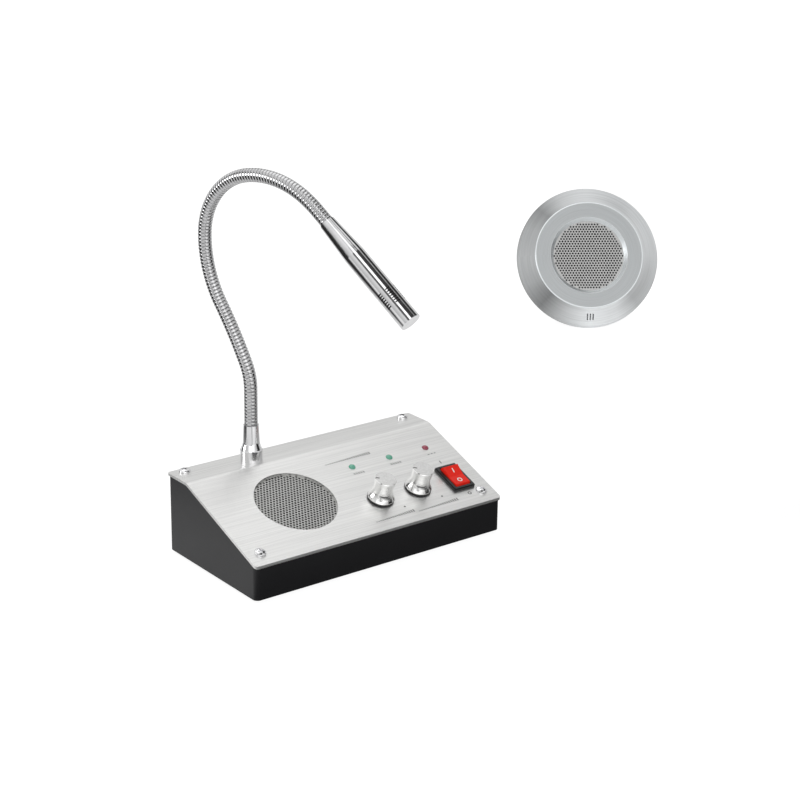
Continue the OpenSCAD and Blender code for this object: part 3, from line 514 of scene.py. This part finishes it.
def on_slope(sizes, points):
    """[x, distance up the slope, height off it] in millimetres to metres in the row frame:
    y = cos(a) s - sin(a) n - front edge, z = sin(a) s + cos(a) n + front height."""
    a = sizes.slope_angle
    x, s, n = np.moveaxis(points, -1, 0)
    y = math.cos(a) * s - math.sin(a) * n - sizes.front_edge
    z = math.sin(a) * s + math.cos(a) * n + sizes.front_height
    return to_array(x, y, z) * MM


def slope_turn(sizes):
    """The rotation that stands +Z on the slope."""
    return (sizes.slope_angle, 0.0, 0.0)


def put_mesh(name, points, faces, smooth_angle=35):
    """A mesh object at the origin, its normals outwards, smooth up to the angle in degrees."""
    merge_distance = 1e-7
    mesh = bpy.data.meshes.new(name)
    mesh.from_pydata(np.reshape(points, (-1, 3)).tolist(), [], faces)
    mesh.validate()
    work = bmesh.new()
    work.from_mesh(mesh)
    bmesh.ops.remove_doubles(work, verts=work.verts, dist=merge_distance)
    bmesh.ops.recalc_face_normals(work, faces=work.faces)
    work.to_mesh(mesh)
    work.free()
    mesh.shade_smooth()
    mesh.set_sharp_from_angle(angle=math.radians(smooth_angle))
    made = bpy.data.objects.new(name, mesh)
    bpy.context.scene.collection.objects.link(made)
    return made


def grid_faces(rows, columns, closed_rows=False):
    """Quads of a rows by columns grid of points, the rows joined up in a loop if asked."""
    r = np.arange(rows if closed_rows else rows - 1)[:, None]
    c = np.arange(columns - 1)[None, :]
    a, b = r * columns + c, (r + 1) % rows * columns + c
    return np.stack([a, a + 1, b + 1, b], -1).reshape(-1, 4).tolist()


def prisms(outlines, low, high, place):
    """Flat marks as thin prisms: each outline of [x, s] points stands from low to high."""
    points, faces = [], []
    for outline in outlines:
        outline = np.asarray(outline, float)
        n, base = len(outline), sum(len(p) for p in points)
        for n0 in (low, high):
            points.append(to_array(outline[:, 0], outline[:, 1], np.full(n, n0)))
        k = np.arange(n)
        m = (k + 1) % n
        faces += (np.stack([k, m, m + n, k + n], -1) + base).tolist()
        faces += [(k[::-1] + base).tolist(), (k + n + base).tolist()]
    return place(np.concatenate(points)), faces


def box_outline(x, s, w, h):
    """A w by h rectangle about [x, s]."""
    corners = ((-1, -1), (1, -1), (1, 1), (-1, 1))
    return [[x + i * w / 2, s + j * h / 2] for i, j in corners]


def disc_outline(x, s, d, sides=24):
    """Even points on a circle about [x, s]: [x + d / 2 cos(a), s + d / 2 sin(a)]."""
    a = np.linspace(0, 2 * np.pi, sides, endpoint=False)
    return np.stack([x + d / 2 * np.cos(a), s + d / 2 * np.sin(a)], -1)


def ring_mark(x, s, outer, inner, low, high, place, sides=32):
    """A flat ring: the rectangle from inner / 2 to outer / 2 and from low to high, carried round
    the circle about [x, s]."""
    a = np.linspace(0, 2 * np.pi, sides + 1)[None, :]
    r = np.array([inner, outer, outer, inner])[:, None] / 2
    n = np.array([low, low, high, high])[:, None]
    points = to_array(x + r * np.cos(a), s + r * np.sin(a), n + 0 * a)
    return place(points.reshape(-1, 3)), grid_faces(4, sides + 1, True)


def joined(*shapes):
    """Several (points, faces) as one."""
    points, faces, base = [], [], 0
    for p, f in shapes:
        points.append(np.reshape(p, (-1, 3)))
        faces += [[i + base for i in face] for face in f]
        base += len(points[-1])
    return np.concatenate(points), faces


# Runs of the hose from the sleeve: length in millimetres, and degrees that it turns to the back
NECK_RUNS = [
    (21, 0), (15, 26), (36.5, 8), (40, -35), (52, -75), (45, -44), (10, -8), (8, 0),
]
NECK_LENGTH = sum(length for length, _ in NECK_RUNS)
NECK_BODIES = [
    "desk_unit", "neck_link_2", "neck_link_3", "neck_link_4", "neck_link_5", "microphone",
]
LINKS = len(NECK_BODIES)
# Length of hose before and after a hinge, in millimetres
BEND_REACH = 14
# The rows of points across the wire, in shares of the pitch, and the points round the hose
ACROSS_WIRE = np.array([0.0, 0.05, 0.1, 0.18, 0.35, 0.5, 0.65, 0.82, 0.9, 0.95])
ROWS_PER_TURN = len(ACROSS_WIRE)
SIDES = 32
# The groove's reach in shares of the pitch, and how far the wire's edges fall off in millimetres
GROOVE_REACH, WIRE_CROWN = 0.07, 0.05


class NeckPath:
    """The hose's centre line: its heading runs straight from run to run, and its place is the
    running sum of (sin heading, cos heading) in the gooseneck's own plane. A straight spare
    length, in millimetres, goes on at each end."""

    SPARE, SAMPLES = 20, 8001

    def __init__(self, sizes):
        lengths = np.array([r[0] for r in NECK_RUNS], float)
        turns = np.radians([r[1] for r in NECK_RUNS])
        end = lengths.sum() + self.SPARE
        knots = np.concatenate([[-self.SPARE], [0], np.cumsum(lengths), [end]])
        heads = np.concatenate([[0], [0], np.cumsum(turns), [turns.sum()]])
        self.s = np.linspace(knots[0], knots[-1], self.SAMPLES)
        self.h = np.interp(self.s, knots, heads)
        step = self.s[1] - self.s[0]
        parts = [np.sin(self.h), np.cos(self.h)]
        sums = [np.concatenate([[0], np.cumsum((p[1:] + p[:-1]) / 2 * step)]) for p in parts]
        self.back, self.up = [v - np.interp(0, self.s, v) for v in sums]
        self.foot = np.array([sizes.foot_x, sizes.foot_y, sizes.foot_z])
        c, d = math.cos(sizes.turn), math.sin(sizes.turn)
        self.across, self.away = np.array([c, d, 0.0]), np.array([-d, c, 0.0])

    def surface(self, s, angle, radius):
        """Points at the distance s along the line, at the angle round it and the radius off it:
        centre + radius (cos(angle) across + sin(angle) side), side being square to the line."""
        h = np.interp(s, self.s, self.h)[..., None]
        back = np.interp(s, self.s, self.back)[..., None]
        up = np.interp(s, self.s, self.up)[..., None]
        rise = np.array([0, 0, 1.0])
        centre = self.foot + back * self.away + up * rise
        side = np.cos(h) * self.away - np.sin(h) * rise
        spoke = np.cos(angle)[..., None] * self.across + np.sin(angle)[..., None] * side
        return (centre + radius[..., None] * spoke) * MM

    def point(self, s):
        """The centre line's point at the distance s."""
        one = np.array([float(s)])
        return self.surface(one, one * 0, one * 0)[0]


def winding(path, sizes, first_turn, turns):
    """A length of the hose's winding, a rounded wire wound side by side into a tube: on a grid
    of rows along and angles round, every row climbs one pitch a turn, and
    radius = hose / 2 - groove exp(-(d / reach)^2) - crown (2 f - 1)^2, where f is the place
    across the wire and d its distance from the groove. The bore closes it inside, and a step at
    each end closes it where the wire is cut."""
    rows = ROWS_PER_TURN * turns
    start = first_turn * sizes.pitch - sizes.tucked
    f = np.append(np.tile(ACROSS_WIRE, turns), 0.0)
    outer_s = start + (np.arange(rows + 1) // ROWS_PER_TURN + f) * sizes.pitch
    inner_s = start + np.arange(turns, -1, -1) * sizes.pitch
    d = np.minimum(f, 1 - f)
    dip = sizes.groove * np.exp(-((d / GROOVE_REACH) ** 2))
    outer_r = sizes.hose / 2 - dip - WIRE_CROWN * (2 * f - 1) ** 2
    s = np.concatenate([outer_s, inner_s])
    r = np.concatenate([outer_r, np.full(turns + 1, sizes.bore / 2)])
    angle = np.linspace(0, 2 * np.pi, SIDES + 1)
    s_grid = s[:, None] + sizes.pitch * angle[None, :] / (2 * np.pi)
    angle_grid = np.broadcast_to(angle, s_grid.shape)
    r_grid = np.broadcast_to(r[:, None], s_grid.shape)
    points = path.surface(s_grid, angle_grid, r_grid)
    columns, total = SIDES + 1, len(s)
    faces = grid_faces(total, columns, True)
    step = np.arange(ROWS_PER_TURN + 1)
    first = [int(i) * columns for i in [*step, total - 2, total - 1]]
    last_rows = [*(step + rows - ROWS_PER_TURN), rows + 1, rows + 2]
    last = [int(i) * columns + SIDES for i in last_rows]
    return points, faces + [first, last[::-1]]


# ---------------------------------------------------------------- operators


class INTERCOM_OT_winding(bpy.types.Operator):
    """Wind the gooseneck's hose in lengths that meet halfway along each link"""

    bl_idname = "intercom.winding"
    bl_label = "Gooseneck winding"
    bl_options = {"REGISTER", "UNDO"}

    def execute(self, context):
        sizes = context.scene.intercom_neck
        path = NeckPath(sizes)
        metal = plated("hose_plating", tuple(context.scene.intercom_colours.hose), 0.08)
        whole = NECK_LENGTH + 2 * sizes.tucked
        turns = int(whole / sizes.pitch) - 1
        link = NECK_LENGTH / LINKS
        # The lengths meet halfway along each link, so each hinge lies inside one of them
        middles = [link * (i + 0.5) + sizes.tucked for i in range(LINKS)]
        marks = [0, *(round(middle / sizes.pitch) for middle in middles), turns]
        for i in range(LINKS + 1):
            points, faces = winding(path, sizes, marks[i], marks[i + 1] - marks[i])
            made = put_mesh(f"neck_winding_{i + 1}", points, faces, smooth_angle=60)
            made.data.materials.append(metal.material)
            if 0 < i < LINKS:
                start = path.point(link * i - BEND_REACH)
                end = path.point(link * i + BEND_REACH)
                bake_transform(made)
            else:
                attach(made, NECK_BODIES[min(i, LINKS - 1)])
            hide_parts(f"neck_hose_{min(i + 1, LINKS)}")
        return {"FINISHED"}


class INTERCOM_OT_marks(bpy.types.Operator):
    """Print the plain marks on the faceplate"""

    bl_idname = "intercom.marks"
    bl_label = "Printed marks"
    bl_options = {"REGISTER", "UNDO"}

    # All in millimetres. Rows of growing strokes: first and last x, place up the slope, count
    STROKE_ROWS = [(0.5, 26.8, 8.3, 19), (30.2, 57.9, 7.6, 19), (0.5, 31.5, 60.5, 21)]
    STROKE_HEIGHT, SHORTEST, STROKE_SHARE = 2.2, 0.25, 0.42
    # Ticks and dashes by the lamps: x of their middle, count, pitch, width and height
    TICKS = [(15.4, 5, 1.6, 0.5, 1.6), (41.9, 5, 1.6, 0.5, 1.6), (68.2, 3, 2.2, 1.2, 0.45)]
    TICKS_UP = 47.2
    # Dots: x, place up the slope, diameter. The on sign has a width and a height after its
    # place, and the off sign an outer and an inner diameter
    DOTS = [(23.9, 13.0, 1.1), (50.7, 12.9, 1.1)]
    ON_SIGN, OFF_SIGN = (68.6, 39.0, 0.55, 2.4), (68.6, 9.6, 2.4, 1.5)
    # The ink's underside and top, off the sheet
    LOW, HIGH = 0.004, 0.035

    def strokes(self, x0, x1, s, count):
        """A row of strokes that grow from left to right, the usual sign for volume: the stroke at
        the share k of the row has the share shortest + (1 - shortest) k of the full height."""
        tall, made = self.STROKE_HEIGHT, []
        width = (x1 - x0) / count * self.STROKE_SHARE
        for k in np.linspace(0, 1, count):
            height = tall * (self.SHORTEST + (1 - self.SHORTEST) * k)
            made.append(box_outline(x0 + (x1 - x0) * k, s + height / 2 - tall / 2, width, height))
        return made

    def execute(self, context):
        sizes, hues = context.scene.intercom_desk, context.scene.intercom_colours
        ink = grained("print_ink", tuple(hues.print_ink), 0.5, 3000, 2e-6)

        def place(points):
            return on_slope(sizes, points)

        outlines = []
        for row in self.STROKE_ROWS:
            outlines += self.strokes(*row)
        for x, count, pitch, width, height in self.TICKS:
            outlines += [
                box_outline(x + k * pitch, self.TICKS_UP, width, height)
                for k in range(-(count // 2), count // 2 + 1)
            ]
        outlines += [disc_outline(*dot) for dot in self.DOTS]
        outlines += [box_outline(*self.ON_SIGN)]
        printed = prisms(outlines, self.LOW, self.HIGH, place)
        ring = ring_mark(*self.OFF_SIGN, self.LOW, self.HIGH, place)
        made = put_mesh("panel_marks", *joined(printed, ring))
        made.data.materials.append(ink.material)
        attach(made, "desk_unit")
        return {"FINISHED"}


class INTERCOM_OT_rocker_marks(bpy.types.Operator):
    """Print the on and off signs on the rocker"""

    bl_idname = "intercom.rocker_marks"
    bl_label = "Rocker signs"
    bl_options = {"REGISTER", "UNDO"}

    # The slope of each arm of the rocker's V and its angle at rest; the heights of its pins and of
    # the middle of the V off the sheet, in millimetres
    TILT, REST = math.atan2(1.6, 8.4), math.radians(10)
    PIVOT, MID = -1.0, 2.7
    # The signs: their place up the arm, the bar's width and height, the ring's diameters, and
    # their underside and top
    SIGN_UP = 3.7
    BAR, RING = (0.7, 2.9), (3.2, 2.0)
    LOW, HIGH = 0.004, 0.05

    def execute(self, context):
        sizes = context.scene.intercom_desk
        centre_x = sizes.column_x + 2 * sizes.column_pitch

        def place(points, end):
            """Points [x, up one arm of the rocker's shallow V, off it], turned about its pins by
            its angle at rest. The end is 1 on the upper arm and -1 on the lower one."""
            x, t, n = np.moveaxis(np.reshape(points, (-1, 3)), -1, 0)
            y = end * (t * math.cos(self.TILT) - n * math.sin(self.TILT))
            z = self.MID + t * math.sin(self.TILT) + n * math.cos(self.TILT) - self.PIVOT
            c, s = math.cos(self.REST), math.sin(self.REST)
            up, off = y * c - z * s, y * s + z * c + self.PIVOT
            return on_slope(sizes, to_array(x + centre_x, up + sizes.switch_s, off))

        white = grained("sign_white", (0.86, 0.84, 0.8), 0.45, 3000, 2e-6)
        outline = box_outline(0, self.SIGN_UP, *self.BAR)
        bar = prisms([outline], self.LOW, self.HIGH, lambda p: place(p, 1))
        ring = ring_mark(
            0, self.SIGN_UP, *self.RING, self.LOW, self.HIGH, lambda p: place(p, -1)
        )
        made = put_mesh("rocker_signs", *joined(bar, ring))
        made.data.materials.append(white.material)
        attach(made, "power_rocker")
        return {"FINISHED"}


class INTERCOM_OT_pointers(bpy.types.Operator):
    """Fill the knobs' pointer notches"""

    bl_idname = "intercom.pointers"
    bl_label = "Knob pointers"
    bl_options = {"REGISTER", "UNDO"}

    # Where the pointers point at rest; in millimetres, a line's length and width, how far its
    # middle lies inside the top's edge, and how far its foot and its top lie below the knob's top
    DIRECTION = math.radians(152)
    LENGTH, WIDTH, INSET = 2.3, 0.66, 1.2
    FOOT, TOP = 0.49, 0.06

    def execute(self, context):
        sizes = context.scene.intercom_desk
        ink = grained("pointer_ink", (0.02, 0.02, 0.02), 0.45, 3000, 2e-6)
        a = self.DIRECTION
        low, high = sizes.knob_height - self.FOOT, sizes.knob_height - self.TOP
        for i, side in enumerate(("inside", "outside")):
            centre = np.array([sizes.column_x + i * sizes.column_pitch, sizes.knob_s])

            def place(points):
                """Points [from the knob's axis, across, off the sheet], turned to point."""
                r, across, n = np.moveaxis(points, -1, 0)
                x = centre[0] + r * math.cos(a) - across * math.sin(a)
                s = centre[1] + r * math.sin(a) + across * math.cos(a)
                return on_slope(sizes, to_array(x, s, n))

            middle = sizes.knob_top / 2 - self.INSET
            outline = box_outline(middle, 0, self.LENGTH, self.WIDTH)
            made = put_mesh(f"{side}_pointer", *prisms([outline], low, high, place))
            made.data.materials.append(ink.material)
            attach(made, f"{side}_volume_knob")
        return {"FINISHED"}


class INTERCOM_OT_finishes(bpy.types.Operator):
    """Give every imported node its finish"""

    bl_idname = "intercom.finishes"
    bl_label = "Finishes"
    bl_options = {"REGISTER", "UNDO"}

    def execute(self, context):
        scene = context.scene
        hues, sizes = scene.intercom_colours, scene.intercom_desk
        unit_centre, unit_turn = scene.intercom_unit.axis_frame()
        made = {
            "charcoal_moulding": grained(
                "charcoal_moulding", tuple(hues.housing), 0.42, 2600, 0.00004, 0.1
            ),
            "brushed_sheet": brushed_sheet("brushed_sheet", tuple(hues.sheet)),
            "perforated_sheet": plated("perforated_sheet", (0.46, 0.46, 0.45), 0.34),
            "bright_mesh": plated("bright_mesh", (0.5, 0.5, 0.495), 0.3),
            "bright_plating": plated("bright_plating", tuple(hues.plating)),
            "foot_rubber": grained("foot_rubber", (0.02, 0.02, 0.02), 0.8, 2500, 0.00005),
            "pressed_steel": grained(
                "pressed_steel", (0.5, 0.5, 0.5), 0.35, 900, 0.00002, metallic=1.0
            ),
            "cone_paper": grained("cone_paper", (0.02, 0.018, 0.016), 0.85, 1500, 0.00008),
            "magnet_iron": grained(
                "magnet_iron", (0.2, 0.2, 0.21), 0.5, 700, 0.00003, metallic=0.8
            ),
            "zinc_plating": grained(
                "zinc_plating", (0.66, 0.64, 0.58), 0.28, 900, 0.00001, metallic=1.0
            ),
            "circuit_board": grained("circuit_board", (0.02, 0.13, 0.05), 0.35, 500, 0.00002),
            "capacitor_sleeve": grained("capacitor_sleeve", (0.02, 0.03, 0.1), 0.3, 600, 1e-5),
            "black_moulding": grained(
                "black_moulding", (0.012, 0.013, 0.014), 0.32, 2200, 0.00001
            ),
            "extruded_aluminium": grained(
                "extruded_aluminium", (0.6, 0.6, 0.62), 0.38, 1200, 0.00001, metallic=1.0
            ),
            "green_lens": self.lens("green_lens", tuple(hues.lamp_green), 0.2),
            "red_lens": self.lens("red_lens", tuple(hues.lamp_red), 0.1),
            "rocker_red": self.lens("rocker_red", tuple(hues.rocker), 0.28, 0.1),
            "open_foam": grained("open_foam", (0.02, 0.02, 0.02), 0.9, 2500, 0.0003),
            # The spun cone's colour carries painted sheen in sectors round its axis
            "spun_cone": turned(
                "spun_cone", tuple(hues.unit), unit_centre, unit_turn, 0.48, 1400.0, CONE_PAINTED_SHEEN
            ),
            # The front ring's colour carries painted highlights on its bevels and outer edge
            "spun_ring": turned(
                "spun_ring", tuple(hues.ring), unit_centre, unit_turn, 0.36, 2200.0, (), RING_PAINTED_HIGHLIGHTS
            ),
        }
        for i, side in enumerate(("inside", "outside")):
            name = f"turned_{side}_knob"
            foot = np.array([sizes.column_x + i * sizes.column_pitch, sizes.knob_s, 0.0])
            # Painted shade darkens each knob's flat top
            made[name] = turned(
                name, tuple(hues.knob), tuple(on_slope(sizes, foot)), slope_turn(sizes), 0.1,
                face=sizes.knob_height * MM,
            )
        for name, nodes in FINISHES.items():
            for node in nodes:
                materials = NODES[node].data.materials
                materials.clear()
                materials.append(made[name].material)
        return {"FINISHED"}

    def lens(self, name, shade, glow, coat=0.6):
        """A moulded lens that is lit a little from inside."""
        made = grained(name, shade, 0.16, 1500, 0.00001, 0.2)
        made.set("Specular IOR Level", coat)
        made.set("Coat Weight", coat)
        made.set("Coat Roughness", 0.05)
        made.set("Emission Color", shade)
        made.set("Emission Strength", glow)
        return made


class INTERCOM_OT_stage(bpy.types.Operator):
    """Lay the floor, light it and set the camera"""

    bl_idname = "intercom.stage"
    bl_label = "Studio"
    bl_options = {"REGISTER", "UNDO"}

    # [azimuth clockwise from +Y, half the width, softness, foot and top above the horizon, all in
    # degrees; darkness]: a foot below 0 stands on the floor, a darkness below 0 is a lit window
    SCREENS = [
        (-50, 24, 6, -99, 32, 0.97),
        (131, 19, 5, -99, 12, 0.97),
        (-145, 4, 2, -99, 6, 0.85),
        (160, 47, 5, 52, 75, 0.95),
        (90, 20, 4, 30, 58, 0.95),
        (-119, 9, 3, 26, 50, 0.9),
        (-140, 18, 8, 46, 66, -0.8),
        (-140, 25, 10, 8, 34, -1.0),
        (-174, 14, 7, -99, 30, -0.7),
    ]
    SCREEN_EDGE = 2
    # [name, place, point that it faces, width in metres, watts]
    LAMPS = [
        ("key", (-1.5, 0.9, 0.5), (0.0, 0.0, 0.05), 0.9, 8.0),
        ("top", (0.3, 0.6, 1.8), (0.1, 0.0, 0.0), 1.6, 3.0),
    ]

    def execute(self, context):
        scene = context.scene
        studio = scene.intercom_studio
        scene.view_settings.view_transform = "Standard"
        self.floor(studio)
        self.sky(scene, studio)
        self.lamps(scene)
        self.camera(scene, studio)
        return {"FINISHED"}

    def screens(self, x, y, z):
        """The share of light that comes from the direction [x, y, z]: the product, over the
        screens, of 1 - darkness where the direction meets the screen, with soft edges."""

        def above(height):
            """0 below the height in degrees and 1 above it."""
            low, high = height - self.SCREEN_EDGE, height + self.SCREEN_EDGE
            return z.between(math.sin(math.radians(low)), math.sin(math.radians(high)))

        never_zero = 1e-6
        flat = (x * x + y * y + never_zero) ** 0.5
        light = 1.0
        for azimuth, half_width, soft, foot, top, dark in self.SCREENS:
            a = math.radians(azimuth)
            facing = (x * math.sin(a) + y * math.cos(a)) / flat
            inner = math.cos(math.radians(max(half_width - soft, 0)))
            outer = math.cos(math.radians(half_width + soft))
            reach = 1.0 - above(top)
            if foot > 0:
                reach = reach * above(foot)
            light = light * (1.0 - facing.between(outer, inner) * reach * dark)
        return light

    def floor(self, studio):
        """A flat disc of pale paper, large enough to fill the view: circles of points about the
        origin. The camera sees it as white as the backdrop. What mirrors it sees the screens'
        feet from some way off, and a dark strip that starts just before the desk unit."""
        radii, sides, sunk = [0.0, 0.5, 1.5, 6.0], 128, 0.0001
        feet_start, feet_whole = 0.12, 0.3
        strip_darkness, mirrored_glow, camera_glow = 0.87, 0.55, 0.88
        # The strip's soft edges, the first counted towards the front
        back, front, left = (0.03, 0.05), (-0.16, -0.12), (-0.14, -0.1)
        a = np.linspace(0, 2 * np.pi, sides + 1)[None, :]
        r = np.array(radii)[:, None]
        points = to_array(r * np.cos(a), r * np.sin(a), 0 * r * a - sunk)
        made = put_mesh("floor", points, grid_faces(len(radii), sides + 1))
        paper = grained("floor_paper", tuple(studio.floor), 0.9, 60, 0.00001, 0.01)
        paper.set("Specular IOR Level", 0.0)
        x, y, z = paper.parts(paper.place())
        reach = (x * x + y * y) ** 0.5
        far = reach.between(feet_start, feet_whole)
        strip = (0.0 - y).between(*back) * y.between(*front) * x.between(*left)
        lit = self.screens(x, y, z - 1.0) * far + (1.0 - far)
        lit = lit * (1.0 - strip * strip_darkness)
        seen = paper.number("ShaderNodeLightPath", output="Is Camera Ray")
        glow = lit * mirrored_glow * (1.0 - seen) + seen * (1.0 - lit * (1.0 - camera_glow))
        paper.set("Base Color", paper.mix(lit, BLACK, tuple(studio.floor)))
        paper.set("Emission Color", paper.mix(glow, BLACK, WHITE))
        paper.set("Emission Strength", 1.0)
        made.data.materials.append(paper.material)

    def sky(self, scene, studio):
        """Soft light from all round, brighter overhead, with the screens and windows that the
        plating mirrors. The camera itself sees plain white."""
        horizon, overhead = 0.55, 0.9
        scene.world = bpy.data.worlds.new("studio")
        tree = Tree(scene.world)
        x, y, z = tree.parts(tree.node("ShaderNodeTexCoord").outputs["Generated"])
        light = (z.between(0.0, 0.8) * (overhead - horizon) + horizon) * self.screens(x, y, z)
        seen = tree.number("ShaderNodeLightPath", output="Is Camera Ray")
        grey = tree.node("ShaderNodeCombineColor", {}, {0: light, 1: light, 2: light})
        shade = tree.mix(seen, grey.outputs[0], WHITE)
        back = tree.node("ShaderNodeBackground", {}, {"Color": shade, "Strength": studio.sky})
        out = tree.node("ShaderNodeOutputWorld")
        tree.links.new(back.outputs[0], out.inputs[0])

    def lamps(self, scene):
        """Large soft lamps: one to the left and back, one overhead."""
        for name, place, aim, width, power in self.LAMPS:
            lamp = bpy.data.lights.new(name, "AREA")
            lamp.shape, lamp.size, lamp.energy = "DISK", width, power
            made = bpy.data.objects.new(name, lamp)
            scene.collection.objects.link(made)
            made.location = place
            facing = Vector(aim) - Vector(place)
            made.rotation_euler = facing.to_track_quat("-Z", "Y").to_euler()

    def camera(self, scene, studio):
        """The photograph's view: lens = focal length in pixels x sensor width / frame width."""
        data = bpy.data.cameras.new("camera")
        made = bpy.data.objects.new("camera", data)
        scene.collection.objects.link(made)
        data.sensor_width = 36.0
        data.lens = studio.focal_pixels * data.sensor_width / IMAGE_SIDE
        data.clip_start, data.clip_end = 0.02, 40.0
        az, el, roll = studio.azimuth, studio.elevation, studio.roll
        back = Vector(
            (math.sin(az) * math.cos(el), -math.cos(az) * math.cos(el), math.sin(el))
        )
        right = (-back).cross(Vector((0, 0, 1))).normalized()
        up = right.cross(-back)
        side = right * math.cos(roll) + up * math.sin(roll)
        top = up * math.cos(roll) - right * math.sin(roll)
        turn = Matrix((side, top, back)).transposed()
        made.matrix_world = Matrix.Translation(Vector(studio.camera_place)) @ turn.to_4x4()
        scene.camera = made


class INTERCOM_PT_panel(bpy.types.Panel):
    """Shows the intercom's operators and settings"""

    bl_idname = "INTERCOM_PT_panel"
    bl_label = "Intercom"
    bl_space_type = "VIEW_3D"
    bl_region_type = "UI"
    bl_category = "Intercom"

    def draw(self, context):
        scene = context.scene
        for operator in OPERATORS:
            self.layout.operator(operator.bl_idname)
        for group in (getattr(scene, name) for name in GROUPS):
            box = self.layout.box()
            for name in group.bl_rna.properties.keys():
                if name not in ("rna_type", "name"):
                    box.prop(group, name)


GROUPS = {
    "intercom_desk": DeskSizes,
    "intercom_neck": NeckSizes,
    "intercom_unit": UnitSizes,
    "intercom_colours": Colours,
    "intercom_studio": Studio,
}
OPERATORS = [
    INTERCOM_OT_stage,
    INTERCOM_OT_finishes,
    INTERCOM_OT_winding,
    INTERCOM_OT_marks,
    INTERCOM_OT_rocker_marks,
    INTERCOM_OT_pointers,
]


def register():
    for cls in [*GROUPS.values(), *OPERATORS, INTERCOM_PT_panel]:
        bpy.utils.register_class(cls)
    for name, group in GROUPS.items():
        setattr(bpy.types.Scene, name, bpy.props.PointerProperty(type=group))


def unregister():
    for name in GROUPS:
        delattr(bpy.types.Scene, name)
    for cls in reversed([*GROUPS.values(), *OPERATORS, INTERCOM_PT_panel]):
        bpy.utils.unregister_class(cls)


def main():
    register()
    for operator in OPERATORS:
        family, name = operator.bl_idname.split(".")
        getattr(getattr(bpy.ops, family), name)()


if __name__ == "__main__":
    main()
